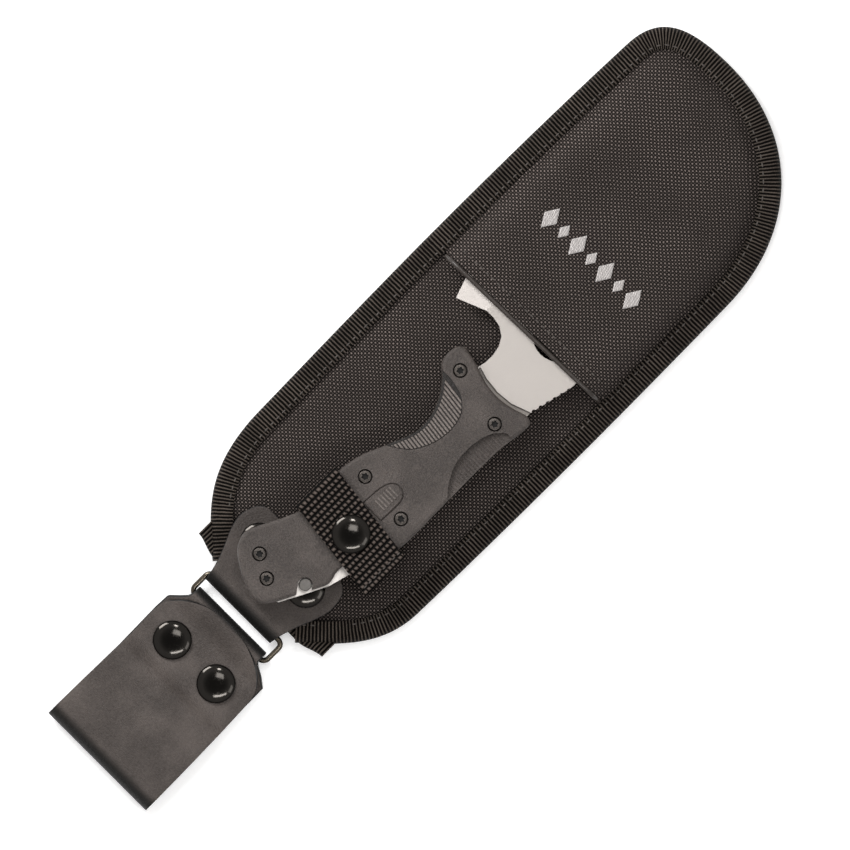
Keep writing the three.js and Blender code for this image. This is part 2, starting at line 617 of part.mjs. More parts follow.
const THUMB_REST = [[-6, 17], [3.5, 16], [7.4, 10], [8.2, 3], [6.2, -6], [-0.5, -14.5], [-5, -16], [-1, 0]];
const FINGER_REST = [[30, 20], [24, 19.5], [20.2, 14.5], [18.4, 7], [18.6, -2], [21, -8], [24.5, -12], [30, -12]];

function gripScale(side) {
  const levels = [
    { outline: HANDLE, z: SCALE.inner },
    { outline: HANDLE, z: SCALE.shoulder },
    { outline: inset(HANDLE, 0.6), z: SCALE.bevel },
    { outline: inset(HANDLE, 1.2), z: SCALE.outer },
  ].map(({ outline, z }) => ({ outline, z: side * z }));
  const scale = solid(loft(side > 0 ? levels : levels.reverse()));
  const recess = side > 0 ? [SCALE.inner - 1, SCALE.recess] : [-SCALE.recess, 1 - SCALE.inner];
  const seats = [...GRIP_SCREWS, ...BUTT_SCREWS].map(([x, y]) =>
    (side > 0 ? rod(x, y, SCREW.counterbore, 4.8, 9) : rod(x, y, SCREW.counterbore, -9, -4.8)));
  return without(scale, [
    block(-30, 30, -110, SCALE.butt, ...recess),
    ...holesFor([...GRIP_SCREWS, ...BUTT_SCREWS]),
    ...seats,
    scallop(THUMB_REST, side),
    scallop(FINGER_REST, side),
    ...(side > 0 ? [studSlot()] : []),
  ]);
}

// A screw with a six-lobed socket in its head.
function screw(x, y) {
  const body = turned(x, y, 0, [
    [0, -4.8], [SCREW.shank, -4.8], [SCREW.shank, SCREW.seat], [SCREW.head, SCREW.seat],
    [SCREW.head, SCREW.top - 0.3], [SCREW.head - 0.4, SCREW.top], [0, SCREW.top],
  ], 14);
  const lobes = Array.from({ length: 12 }, (_, i) => {
    const radius = i % 2 ? 0.85 : 1.35;
    return at(x + radius * Math.cos((i * Math.PI) / 6), y + radius * Math.sin((i * Math.PI) / 6));
  });
  return body.subtract(prism(lobes, SCREW.top - 1, SCREW.top + 1));
}

piece("grip_scale_front", gripScale(1), GRIP, tool);
piece("grip_scale_rear", gripScale(-1), GRIP, tool);
[...GRIP_SCREWS, ...BUTT_SCREWS].forEach(([x, y], i) => {
  piece(`screw_${i + 1}`, screw(x, y), BARE_METAL, tool);
  piece(`nut_${i + 1}`, rod(x, y, SCREW.head, -SCREW.top, -SCREW.seat, 14), BARE_METAL, tool);
});

// ---- Tool: folding knife in the butt ----------------------------------------------------------------------

const buttInside = inset(HANDLE, LINER.inset);
const butt = block(-30, 30, -110, -39.5, -9, 9);

function liner(low, high, cutters) {
  return without(prism(buttInside, low, high).intersect(butt), [...holesFor(BUTT_SCREWS), ...cutters]);
}

// The rear liner is slit so that a leaf of it springs over to hold the open blade.
const lockSlit = () => block(-4.4, -3.6, -78, -46, -4, 0).add(block(-4.4, 2, -78.8, -78, -4, 0));

// The wall between the liners, clear of the blade in all its travel. It holds the stop screw.
function buttSpacer() {
  const shape = new THREE.Shape();
  shape.moveTo(-30, -84);
  shape.lineTo(-12.9, -84);
  shape.absarc(PIVOT.x, PIVOT.y, 8.4, 2.6, 1.75, true);
  shape.lineTo(-4.5, -60);
  shape.lineTo(-2, -39.6);
  shape.lineTo(-30, -39.6);
  const wall = prism(outlineOf(shape, 2), -1.7, 1.7);
  return wall.intersect(prism(buttInside, -2, 2)).subtract(rod(...BUTT_SCREWS[0], SCREW.hole, -3, 3, 12));
}

const BLADE_SPINE = [[8.5, -89.5], [13, -81], [18, -71], [20.4, -62.3], [22.8, -53], [24.7, -42.8]];
const BLADE_EDGE = [[24.7, -42.8], [20.8, -44.6], [16.3, -49.4], [12, -56.8], [8.4, -66], [5.4, -75.4]];

function knifeBlade() {
  const tang = Array.from({ length: 11 }, (_, i) => {
    const angle = THREE.MathUtils.degToRad(66 + (i * 240) / 10);
    return [PIVOT.x + BLADE.tang * Math.cos(angle), PIVOT.y + BLADE.tang * Math.sin(angle)];
  });
  const towardSpine = at(0.86, -0.51).multiplyScalar(BLADE.bevel);
  const edge = points(BLADE_EDGE);
  const share = [0, 0.3, 0.7, 1, 1, 0];
  const ground = edge.map((p, i) => p.clone().addScaledVector(towardSpine, share[i]));
  const full = [...points(BLADE_SPINE.slice(0, -1)), ...edge, ...points(tang)];
  const flat = [...points(BLADE_SPINE.slice(0, -1)), ...ground, ...points(tang)];
  const blade = solid(loft([
    { outline: flat, z: -BLADE.half },
    { outline: full, z: -BLADE.edge },
    { outline: full, z: BLADE.edge },
    { outline: flat, z: BLADE.half },
  ]));
  return blade.subtract(rod(PIVOT.x, PIVOT.y, PIVOT.hole, -3, 3));
}

piece("liner_front", liner(LINER.inner, LINER.outer, [studSlot()]), BARE_METAL, tool);
piece("liner_lock", liner(-LINER.outer, -LINER.inner, [lockSlit()]), BARE_METAL, tool);
piece("butt_spacer", buttSpacer(), GRIP, tool);
piece("knife_blade", knifeBlade(), TOOL_STEEL, tool);
piece("thumb_stud", turned(STUD.x, STUD.y, BLADE.half + GAP, [
  [0, 0], [1.5, 0], [1.5, 1.4], [STUD.radius, 2], [STUD.radius, 3.9], [1.7, STUD.top - BLADE.half - GAP],
  [0, STUD.top - BLADE.half - GAP],
], 14), BARE_METAL, tool);
piece("pivot_barrel", washer(PIVOT.x, PIVOT.y, PIVOT.barrel, SCREW.hole, -1.8, 1.8), BARE_METAL, tool);
piece("washer_front", washer(PIVOT.x, PIVOT.y, PIVOT.washer, PIVOT.hole, 1.35, 1.75), BRONZE, tool);
piece("washer_rear", washer(PIVOT.x, PIVOT.y, PIVOT.washer, PIVOT.hole, -1.75, -1.35), BRONZE, tool);

// The tool lies tilted about its tip, its handle end raised.
const cradle = new THREE.Group();
tool.position.y = -TOOL.y;
cradle.position.set(0, TOOL.y, TOOL.z);
cradle.rotation.x = -TOOL.tilt;
cradle.add(tool);
object.add(cradle);

export default object;
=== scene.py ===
"""A cleaver-headed multi tool in its padded belt sheath.

Lengths are given in millimetres and made metres as meshes are built. +Z leaves the sheath's front,
+Y runs to its closed tip and +X is to the right of somebody who looks at the front.
"""

import math

import bpy
from mathutils import Matrix, Vector
from mathutils.kdtree import KDTree


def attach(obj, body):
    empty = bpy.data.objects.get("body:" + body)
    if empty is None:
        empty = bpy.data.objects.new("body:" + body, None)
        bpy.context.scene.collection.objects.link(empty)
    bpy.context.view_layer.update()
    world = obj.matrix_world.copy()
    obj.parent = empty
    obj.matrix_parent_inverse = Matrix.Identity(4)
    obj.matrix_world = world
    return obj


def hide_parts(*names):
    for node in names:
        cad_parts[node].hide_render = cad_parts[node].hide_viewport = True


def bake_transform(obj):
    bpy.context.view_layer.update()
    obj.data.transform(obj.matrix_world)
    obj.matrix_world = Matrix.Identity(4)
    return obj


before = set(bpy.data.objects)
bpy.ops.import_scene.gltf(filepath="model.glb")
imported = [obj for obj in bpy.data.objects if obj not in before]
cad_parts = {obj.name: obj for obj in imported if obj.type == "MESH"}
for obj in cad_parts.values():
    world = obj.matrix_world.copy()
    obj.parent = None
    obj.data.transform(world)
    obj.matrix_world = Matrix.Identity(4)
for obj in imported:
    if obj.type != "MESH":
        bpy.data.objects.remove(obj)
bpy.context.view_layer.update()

MM = 0.001
SHEATH_TIP = 183.3  # how far the sheath reaches along +Y
SHEATH_SIDE = 51.2  # half of its width
BINDING_WIDTH = 9.0
MOUTH_Y = 54.5
MOUTH_SLOPE = 0.024
TOOL_TILT = math.radians(2.5)
TOOL_HINGE = Vector((0, 165, 9.3))
PLATE_HALF = 1.75
GRIP_FACE = 6.8
GRIP_INNER = 2.05
SNAP_RADIUS = 7.65
LEATHER = 2.2
WEBBING = 1.4
CAP_RISE = 1.75  # how far a snap's dome stands over its rim
CAP_RIM = 0.35
STUD = Vector((11, -77.5))
STUD_SLOT = 2.85  # half of the width of the thumb's slot
SLOT_TURN = 0.62  # the slot runs this far off -Y, in radians, as the stud travels
CLOTH_FRAMES = 14


# ---- Small tools --------------------------------------------------------------------------------------

def select_only(obj):
    for other in list(bpy.context.selected_objects):
        other.select_set(False)
    bpy.context.view_layer.objects.active = obj
    obj.select_set(True)


def apply_modifiers(obj):
    select_only(obj)
    for modifier in list(obj.modifiers):
        bpy.ops.object.modifier_apply(modifier=modifier.name)
    return obj


def edit(obj, *steps):
    """Runs edit-mode operators on everything in a mesh."""
    select_only(obj)
    bpy.ops.object.mode_set(mode="EDIT")
    bpy.ops.mesh.select_all(action="SELECT")
    for step in steps:
        step()
    bpy.ops.object.mode_set(mode="OBJECT")
    return obj


def merge(distance=0.002):
    return lambda: bpy.ops.mesh.remove_doubles(threshold=distance * MM)


def outward():
    bpy.ops.mesh.normals_make_consistent(inside=False)


def smooth(obj, degrees=40):
    select_only(obj)
    bpy.ops.object.shade_smooth_by_angle(angle=math.radians(degrees))
    return obj


def mesh_object(name, points, faces, edges=()):
    data = bpy.data.meshes.new(name)
    data.from_pydata([Vector(p) * MM for p in points], list(edges), list(faces))
    obj = bpy.data.objects.new(name, data)
    bpy.context.scene.collection.objects.link(obj)
    return obj


def lay_in_tool(obj):
    """Moves a piece from the tool's own plane, where z is 0 in its middle, to where the tool lies."""
    hinge = Matrix.Translation(TOOL_HINGE * MM)
    back = Matrix.Translation(Vector((0, -TOOL_HINGE.y, 0)) * MM)
    obj.data.transform(hinge @ Matrix.Rotation(-TOOL_TILT, 4, "X") @ back)
    return obj


# ---- Outlines -----------------------------------------------------------------------------------------

def bezier(p0, p1, p2, p3, chord):
    p0, p1, p2, p3 = (Vector(p) for p in (p0, p1, p2, p3))
    length = (p1 - p0).length + (p2 - p1).length + (p3 - p2).length
    steps = max(4, round(length / chord))
    out = []
    for i in range(1, steps + 1):
        t = i / steps
        u = 1 - t
        out.append(u**3 * p0 + 3 * u * u * t * p1 + 3 * u * t * t * p2 + t**3 * p3)
    return out


def through(points, chord):
    """A smooth line through points, from after the first of them to the last."""
    ring = [Vector(p) for p in points]
    out = []
    for i in range(len(ring) - 1):
        a, b = ring[i], ring[i + 1]
        before = ring[i - 1] if i else a
        after = ring[i + 2] if i + 2 < len(ring) else b
        steps = max(2, round((b - a).length / chord))
        out += bezier(a, a + (b - before) / 6, b - (after - a) / 6, b, (b - a).length / steps)
    return out


def outline(start, *parts, chord=1.2):
    """A closed outline: parts are ("to", p), ("bend", c1, c2, p) and ("through", [points])."""
    ring = [Vector(start)]
    for kind, *rest in parts:
        if kind == "to":
            ring.append(Vector(rest[0]))
        elif kind == "bend":
            ring += bezier(ring[-1], *rest, chord)
        else:
            ring += through([ring[-1], *rest[0]], chord)
    kept = [p for i, p in enumerate(ring) if (p - ring[i - 1]).length > 0.01]
    area = sum(a.x * b.y - b.x * a.y for a, b in zip(kept, kept[1:] + kept[:1]))
    return kept if area > 0 else kept[::-1]


def inset(ring, distance):
    out = []
    for i, p in enumerate(ring):
        before = (p - ring[i - 1]).normalized()
        after = (ring[(i + 1) % len(ring)] - p).normalized()
        n0, n1 = Vector((-before.y, before.x)), Vector((-after.y, after.x))
        n = (n0 + n1).normalized()
        out.append(p + n * distance / max(0.5, n.dot(n0)))
    return out


def circle(x, y, radius, steps=40):
    return [Vector((x + radius * math.cos(2 * math.pi * i / steps),
                    y + radius * math.sin(2 * math.pi * i / steps))) for i in range(steps)]


def turned(name, x, y, z, profile, steps=56):
    """A piece turned on an upright axis, from its half outline of radius and height."""
    points = [(r, 0, h) for r, h in profile]
    obj = mesh_object(name, points, [], [(i, i + 1) for i in range(len(points) - 1)])
    edit(obj,
         lambda: bpy.ops.mesh.spin(steps=steps, angle=2 * math.pi, center=(0, 0, 0), axis=(0, 0, 1)),
         merge(), outward)
    obj.data.transform(Matrix.Translation(Vector((x, y, z)) * MM))
    return smooth(obj, 30)


def sheet_of(name, rows, thickness, looks=()):
    """Cloth, tape or leather of one thickness over rows of points. Its UV map is in millimetres."""
    count = len(rows[0])
    along = [0.0]
    for a, b in zip(rows, rows[1:]):
        along.append(along[-1] + (Vector(a[count // 2]) - Vector(b[count // 2])).length)
    across = [0.0]
    middle = rows[len(rows) // 2]
    for a, b in zip(middle, middle[1:]):
        across.append(across[-1] + (Vector(a) - Vector(b)).length)
    faces = [(r * count + c, r * count + c + 1, (r + 1) * count + c + 1, (r + 1) * count + c)
             for r in range(len(rows) - 1) for c in range(count - 1)]
    obj = mesh_object(name, [p for row in rows for p in row], faces)
    layer = obj.data.uv_layers.new(name="cloth")
    for loop in obj.data.loops:
        r, c = divmod(loop.vertex_index, count)
        layer.data[loop.index].uv = (along[r], across[c])
    solid = obj.modifiers.new("thickness", "SOLIDIFY")
    solid.thickness, solid.offset, solid.use_even_offset = thickness * MM, 0.0, True
    for look in looks:
        obj.data.materials.append(look)
    # A second look goes on the rim faces and on a small bevel round them; for leather it is a painted
    # shadow along the cut edges.
    if len(looks) > 1:
        solid.material_offset_rim = 1
        rim = obj.modifiers.new("rim", "BEVEL")
        rim.width, rim.segments, rim.material = 0.5 * MM, 2, 1
        rim.limit_method, rim.angle_limit = "ANGLE", math.radians(60)
    apply_modifiers(obj)
    return smooth(edit(obj, outward), 50)


def flat_faces(obj):
    """Keeps large faces flat where small rounded ones meet them."""
    weighted = obj.modifiers.new("flat_faces", "WEIGHTED_NORMAL")
    weighted.weight, weighted.keep_sharp = 100, True
    return apply_modifiers(obj)


def combine(obj, other, operation):
    modifier = obj.modifiers.new("combine", "BOOLEAN")
    modifier.operation, modifier.solver, modifier.object = operation, "EXACT", other
    apply_modifiers(obj)
    bpy.data.objects.remove(other)
    return obj


def cut(obj, *cutters):
    for cutter in cutters:
        combine(obj, cutter, "DIFFERENCE")
    return obj


def trimmed(obj, keeper):
    """Keeps only what is inside another piece."""
    return combine(obj, keeper, "INTERSECT")


def join(name, pieces):
    for other in list(bpy.context.selected_objects):
        other.select_set(False)
    for piece in pieces:
        piece.select_set(True)
    bpy.context.view_layer.objects.active = pieces[0]
    bpy.ops.object.join()
    pieces[0].name = name
    return pieces[0]


# ---- Materials ----------------------------------------------------------------------------------------

class Number:
    """A number in a shader, with the sums that Python writes."""

    def __init__(self, surface, socket):
        self.surface, self.socket = surface, socket

    def math(self, operation, *others):
        return self.surface.node("ShaderNodeMath", {"operation": operation}, self, *others)

    def __add__(self, other): return self.math("ADD", other)
    def __radd__(self, other): return self.math("ADD", other)
    def __sub__(self, other): return self.math("SUBTRACT", other)
    def __rsub__(self, other): return (self * -1) + other
    def __mul__(self, other): return self.math("MULTIPLY", other)
    def __rmul__(self, other): return self.math("MULTIPLY", other)
    def __truediv__(self, other): return self.math("DIVIDE", other)
    def sine(self): return self.math("SINE")
    def size(self): return self.math("ABSOLUTE")
    def floor(self): return self.math("FLOOR")
    def at_least(self, other): return self.math("MAXIMUM", other)
    def at_most(self, other): return self.math("MINIMUM", other)

    def between(self, low, high):
        """0 below low, 1 above high, and a soft step from one to the other."""
        settings = {"interpolation_type": "SMOOTHSTEP"}
        return self.surface.node("ShaderNodeMapRange", settings, self, low, high, 0.0, 1.0)


class Surface:
    """A procedural material around one Principled shader."""

    def __init__(self, name, **constants):
        self.material = bpy.data.materials.new(name)
        self.material.use_nodes = True
        self.tree = self.material.node_tree
        self.shader = self.tree.nodes["Principled BSDF"]
        for key, value in constants.items():
            self.shader.inputs[key.replace("_", " ")].default_value = value

    def node(self, kind, settings, *values, out=0, **named):
        node = self.tree.nodes.new(kind)
        for key, value in settings.items():
            setattr(node, key, value)
        pairs = list(zip(node.inputs, values))
        pairs += [(node.inputs[key.replace("_", " ")], value) for key, value in named.items()]
        for socket, value in pairs:
            if isinstance(value, Number):
                self.tree.links.new(value.socket, socket)
            elif value is not None:
                socket.default_value = value
        return Number(self, node.outputs[out])

    def place(self):
        """x, y and z on the object, in millimetres."""
        where = self.node("ShaderNodeTexCoord", {}, out=3)
        scaled = self.node("ShaderNodeVectorMath", {"operation": "SCALE"}, where, Scale=1 / MM)
        return scaled, *(self.node("ShaderNodeSeparateXYZ", {}, scaled, out=i) for i in range(3))

    def cloth_place(self):
        """Along and across the cloth, in millimetres."""
        where = self.node("ShaderNodeUVMap", {"uv_map": "cloth"})
        return where, *(self.node("ShaderNodeSeparateXYZ", {}, where, out=i) for i in range(2))

    def noise(self, where, scale, detail=2.0, rough=0.5):
        return self.node("ShaderNodeTexNoise", {}, where, None, scale, detail, rough)

    def mix(self, share, low, high):
        """From one colour to another."""
        node = self.tree.nodes.new("ShaderNodeMix")
        node.data_type = "RGBA"
        for socket, value in ((node.inputs[0], share), (node.inputs[6], low), (node.inputs[7], high)):
            if isinstance(value, Number):
                self.tree.links.new(value.socket, socket)
            else:
                socket.default_value = (*value, 1) if socket is not node.inputs[0] else value
        return Number(self, node.outputs[2])

    def feed(self, **sockets):
        for key, value in sockets.items():
            self.tree.links.new(value.socket, self.shader.inputs[key.replace("_", " ")])

    def bump(self, height, depth):
        """Height is 1 at the top, and depth is how far that is above 0, in millimetres."""
        node = self.tree.nodes.new("ShaderNodeBump")
        node.inputs["Strength"].default_value = 1.0
        node.inputs["Distance"].default_value = depth * MM
        self.tree.links.new(height.socket, node.inputs["Height"])
        self.tree.links.new(node.outputs[0], self.shader.inputs["Normal"])


TURN = 2 * math.pi


def nylon_cloth():
    """Ballistic nylon: thick yarns in a plain weave whose crowns catch the light in a staggered pattern."""
    s = Surface("ballistic_nylon", Roughness=0.6, Specular_IOR_Level=0.05)
    where, x, y, _ = s.place()
    x = x + (s.noise(where, 0.12, 1.0) - 0.5) * 1.6
    y = y + (s.noise(where, 0.15, 1.0) - 0.5) * 1.2
    crowns = (x * (TURN / 2.1)).sine() * (y * (TURN / 1.9)).sine()
    warp = crowns.between(0.0, 0.8)
    weft = (crowns * -1).between(0.1, 0.95)
    filaments = (x * (TURN / 0.24)).sine() * 0.5 + 0.5
    wear = s.noise(where, 0.045, 3.0).between(0.3, 0.7)
    yarn = s.noise(where, 1.1, 2.0)
    shade = (warp * (0.6 + wear * 0.3 + yarn * 0.3)).at_least(weft * 0.34)
    s.feed(Base_Color=s.mix(shade * (0.7 + filaments * 0.3), (0.006, 0.005, 0.0045), (0.2, 0.165, 0.15)))
    s.bump(warp.at_least(weft * 0.75) + filaments * 0.05, 0.5)
    return s.material


def ribbed_tape():
    """Grosgrain binding: ribs square to the edge, with fine yarns over them."""
    s = Surface("grosgrain_tape", Roughness=0.6, Specular_IOR_Level=0.04)
    where, u, v = s.cloth_place()
    u = u + (s.noise(where, 0.4, 1.0) - 0.5) * 0.3
    rib = (u * (TURN / 1.45)).sine() * 0.5 + 0.5
    yarn = (v * (TURN / 0.6) + (u * (TURN / 2.9)).sine() * 2).sine() * 0.5 + 0.5
    wear = s.noise(where, 0.1, 3.0).between(0.3, 0.75)
    shade = rib.between(0.3, 1.0) * (0.35 + yarn * 0.4 + wear * 0.35)
    s.feed(Base_Color=s.mix(shade, (0.0012, 0.001, 0.0008), (0.1, 0.082, 0.069)))
    s.bump(rib + yarn * 0.2, 0.5)
    return s.material


def strap_webbing():
    """Coarse webbing: columns of bead-like yarns."""
    s = Surface("nylon_webbing", Roughness=0.6, Specular_IOR_Level=0.04)
    where, u, v = s.cloth_place()
    column = (u * (math.pi / 2.3)).sine().size()
    step = (u / 2.3).floor() * 0.5
    sway = (s.noise(where, 0.5, 2.0) - 0.5) * 0.5
    bead = ((v / 1.9 + u * 0.16 + step + sway) * math.pi).sine().size()
    shade = column.between(0.4, 0.95) * bead.between(0.15, 0.9)
    fuzz = s.noise(where, 2.5, 2.0)
    s.feed(Base_Color=s.mix(shade * (0.65 + fuzz * 0.6), (0.001, 0.0008, 0.0007), (0.095, 0.076, 0.066)))
    s.bump(column * 0.6 + shade * 0.7, 0.7)
    return s.material


def black_leather():
    """Smooth black leather with a fine grain and paler scuffs, and painted shade that darkens it at its
    folds.
    """
    s = Surface("black_leather", Specular_IOR_Level=0.25)
    where, _, y, _ = s.place()
    pebble = s.node("ShaderNodeTexVoronoi", {"feature": "DISTANCE_TO_EDGE"}, where, None, 1.4)
    pores = s.noise(where, 1.3, 4.0, 0.7).between(0.25, 0.75)
    scuff = s.noise(where, 0.05, 3.0, 0.5).between(0.35, 0.7)
    # Painted shade: the leather turns near black, and a little rougher, where the hanger and the belt loop
    # wrap round the ring's bars and where the belt loop folds at its bottom.
    fold_shade = (1 - y.between(-100.9, -97.2)) * y.between(-104.1, -104.0)
    fold_shade = fold_shade + y.between(-110.6, -108.4) * (1 - y.between(-104.1, -104.0))
    fold_shade = (fold_shade + (1 - y.between(-181.6, -177.0))).at_most(1.0)
    shade = (scuff * 0.5 + pores * 0.5) * (1 - fold_shade)
    hide = s.mix(shade, (0.031, 0.025, 0.022), (0.095, 0.079, 0.071))
    s.feed(Base_Color=s.mix(fold_shade, hide, (0.003, 0.0025, 0.002)),
           Roughness=0.4 + pores * 0.14 + fold_shade * 0.1)
    s.bump(pebble.between(0.0, 0.25) * 0.5 + pores * 0.6, 0.14)
    return s.material


def moulded_grip(name="moulded_grip", low=(0.025, 0.02, 0.0175), high=(0.09, 0.074, 0.066)):
    """Black glass-filled nylon, evenly stippled."""
    s = Surface(name, Specular_IOR_Level=0.35)
    where, *_ = s.place()
    stipple = s.noise(where, 1.7, 3.0, 0.65).between(0.3, 0.7)
    rub = s.noise(where, 0.07, 3.0).between(0.35, 0.75)
    s.feed(Base_Color=s.mix(rub * 0.35 + stipple * 0.65, low, high),
           Roughness=0.42 + stipple * 0.18 - rub * 0.05)
    s.bump(stipple, 0.14)
    return s.material


def satin_steel(name="satin_steel", shade=(0.43, 0.398, 0.373), lines=(1.0, 0.08), rough=0.4):
    """Belt-ground stainless steel with fine scratches that run one way."""
    s = Surface(name, Metallic=0.75)
    where, x, y, z = s.place()
    stretched = s.node("ShaderNodeCombineXYZ", {}, x * lines[0], y * lines[1], z * lines[1])
    scratches = s.noise(stretched, 6.0, 4.0, 0.7)
    haze = s.noise(where, 0.06, 3.0)
    s.feed(Base_Color=s.mix(scratches * 0.6 + haze * 0.4, tuple(0.84 * c for c in shade), shade),
           Roughness=rough - 0.06 + scratches * 0.12 + haze * 0.06)
    s.bump(scratches, 0.012)
    return s.material


def dark_metal(name="gunmetal", shade=(0.032, 0.029, 0.026), rough=0.1, coat=0.12):
    """Polished dark plating with faint handling marks."""
    s = Surface(name, Metallic=1.0, Coat_Weight=coat, Coat_Roughness=0.04)
    where, *_ = s.place()
    marks = s.noise(where, 0.9, 4.0, 0.65)
    s.feed(Base_Color=s.mix(marks, tuple(0.7 * c for c in shade), shade),
           Roughness=rough + marks.between(0.5, 0.8) * 0.1)
    s.bump(marks, 0.01)
    return s.material


def satin_stitch():
    """Embroidery: fine parallel threads that stand up from the cloth."""
    s = Surface("satin_stitch", Roughness=0.5)
    where, x, y, _ = s.place()
    wander = s.noise(where, 0.8, 2.0) * 0.8
    thread = ((x * 0.5 + y + wander) * (TURN / 0.62)).sine() * 0.5 + 0.5
    fuzz = s.noise(where, 3.0, 2.0)
    sheen = thread.between(0.05, 0.8) * (0.6 + fuzz * 0.6)
    s.feed(Base_Color=s.mix(sheen, (0.2, 0.18, 0.175), (0.8, 0.76, 0.74)))
    s.bump(thread, 0.25)
    return s.material


def plain(name, low, high, rough, metallic=0.0, grain=1.0):
    """A simple finish with a little mottling, for small parts."""
    s = Surface(name, Metallic=metallic, Specular_IOR_Level=0.35)
    where, *_ = s.place()
    mottle = s.noise(where, grain, 3.0)
    s.feed(Base_Color=s.mix(mottle, low, high), Roughness=rough + mottle * 0.1)
    s.bump(mottle, 0.02)
    return s.material


CLOTH = nylon_cloth()
TAPE = ribbed_tape()
WEB = strap_webbing()
HIDE = black_leather()
# Near-black look for the rims of the leather: a painted shadow along its cut edges.
HIDE_RIM_SHADOW = plain("painted_leather_edge", (0.002, 0.0016, 0.0014), (0.006, 0.005, 0.0045), 0.6)
GRIP = moulded_grip()
# Lighter copies of the grip's finish: painted highlights on the thumb's ribs and on the tab's bars.
GRIP_RIBS_LIT = moulded_grip("rubbed_ribs", (0.1, 0.085, 0.076), (0.28, 0.24, 0.22))
GRIP_BARS_LIT = moulded_grip("worn_bars", (0.06, 0.05, 0.045), (0.17, 0.145, 0.13))
GRIP_DEEP = moulded_grip("shaded_grip", (0.006, 0.005, 0.004), (0.02, 0.016, 0.014))
STEEL = satin_steel()
CAP = dark_metal()
SCREW = dark_metal("dark_screw", (0.085, 0.075, 0.068), 0.36, 0.0)
# Near black for the screws' star drives: painted shade in the recess.
RECESS_SHADE = plain("dark_recess", (0.002, 0.002, 0.002), (0.008, 0.007, 0.006), 0.6)
LINER = satin_steel("bright_liner", (0.8, 0.76, 0.72), (1.0, 0.08), 0.35)
# A lighter copy of the satin steel for the head's bevel faces: a painted highlight.
BEVEL = satin_steel("ground_bevel", (0.5, 0.465, 0.44), (1.0, 0.08), 0.38)
# A lighter copy of the satin steel for the knife's blade: a painted highlight.
BLADE_LIT = satin_steel("ground_blade", (0.86, 0.81, 0.77), (1.0, 0.08), 0.35)
WIRE = dark_metal("blackened_wire", (0.1, 0.085, 0.065), 0.22)
NICKEL = satin_steel("nickel", (0.6, 0.59, 0.57), (1.0, 1.0), 0.3)
THREAD = plain("black_thread", (0.012, 0.01, 0.009), (0.1, 0.085, 0.075), 0.6)
EMBROIDERY = satin_stitch()
TRIM = plain("trim", (0.018, 0.014, 0.012), (0.05, 0.041, 0.036), 0.3)
PEG = plain("grey_peg", (0.08, 0.075, 0.07), (0.15, 0.14, 0.13), 0.4, 0.4)
SHOULDER = satin_steel("grey_shoulder", (0.2, 0.18, 0.165), (0.08, 1.0), 0.42)
BOARD = plain("board", (0.05, 0.05, 0.05), (0.09, 0.09, 0.09), 0.7)
BRONZE = plain("bronze", (0.42, 0.3, 0.14), (0.6, 0.45, 0.22), 0.3, 1.0)
PLASTIC = plain("black_plastic", (0.012, 0.012, 0.012), (0.03, 0.03, 0.03), 0.45)


def finished(obj, material, body, slot, *nodes):
    """Gives a piece its material and its body, and hides the CAD nodes that it stands for; slot is not
    used.
    """
    if material:
        obj.data.materials.clear()
        obj.data.materials.append(material)
    if body:
        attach(obj, body)
    if nodes:
        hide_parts(*nodes)
    return obj


# ---- Sheath -------------------------------------------------------------------------------------------

def sheath_edge(chord=1.2):
    """The sheath's edge from its bottom right, up the right side, over the tip and down the left side."""
    return outline(
        (23, -97), ("bend", (40, -82), (49, -72), (50, -55)),
        ("bend", (50.8, -25), (SHEATH_SIDE, 5), (SHEATH_SIDE, 40)),
        ("bend", (SHEATH_SIDE, 70), (50.8, 100), (50.5, 118)),
        ("bend", (49, 158), (22, SHEATH_TIP), (-15, SHEATH_TIP)),
        ("bend", (-38, SHEATH_TIP), (-49, 178), (-49.4, 160)),
        ("bend", (-50.6, 130), (-SHEATH_SIDE, 95), (-SHEATH_SIDE, 60)),
        ("bend", (-SHEATH_SIDE, 25), (-50.3, -10), (-49.6, -45)),
        ("bend", (-48, -72), (-38, -82), (-20, -97)), chord=chord)


EDGE = sheath_edge()


def ease(t):
    t = min(1, max(0, t))
    return t * t * (3 - 2 * t)


def along_steps(value, steps):
    """The height a smooth profile has at a value, from its steps of value and height."""
    if value <= steps[0][0]:
        return steps[0][1]
    for (a, low), (b, high) in zip(steps, steps[1:]):
        if value <= b:
            t = (value - a) / (b - a)
            return low + (high - low) * t
    return steps[-1][1]


def mouth_line(x):
    return MOUTH_Y + MOUTH_SLOPE * x


def binding_height(y):
    """The tape is higher where it also holds the pocket's edge, and where it crosses the bottom tape."""
    pocket = ease((y - MOUTH_Y + 7) / 6)
    crossing = ease((-80 - y) / 7)
    return 7.5 + 1.3 * pocket + 1.6 * crossing


def binding():
    """Tape folded around the edge of all layers, widest on the front."""
    inner = inset(EDGE, BINDING_WIDTH)
    rows = []
    for p, q in list(zip(EDGE, inner))[1:-1]:
        inward = (q - p).normalized()
        top = binding_height(p.y) - 0.55
        row = [(9 - 0.4 - 5.6 * k / 8, top - 0.25 + 0.3 * math.sin(math.pi * k / 8)) for k in range(9)]
        row += [(3 + 2.4 * math.cos(a), top / 2 + 0.3 + (top / 2 - 0.3) * math.sin(a))
                for a in (math.pi / 2 + math.pi * k / 12 for k in range(1, 12))]
        row += [(3 + 5.6 * k / 8, 0.6) for k in range(9)]
        rows.append([(p.x + inward.x * d, p.y + inward.y * d, z) for d, z in row])
    return finished(sheet_of("binding_tape", rows, 1.1), TAPE, "sheath", "binding_tape", "edge_binding")


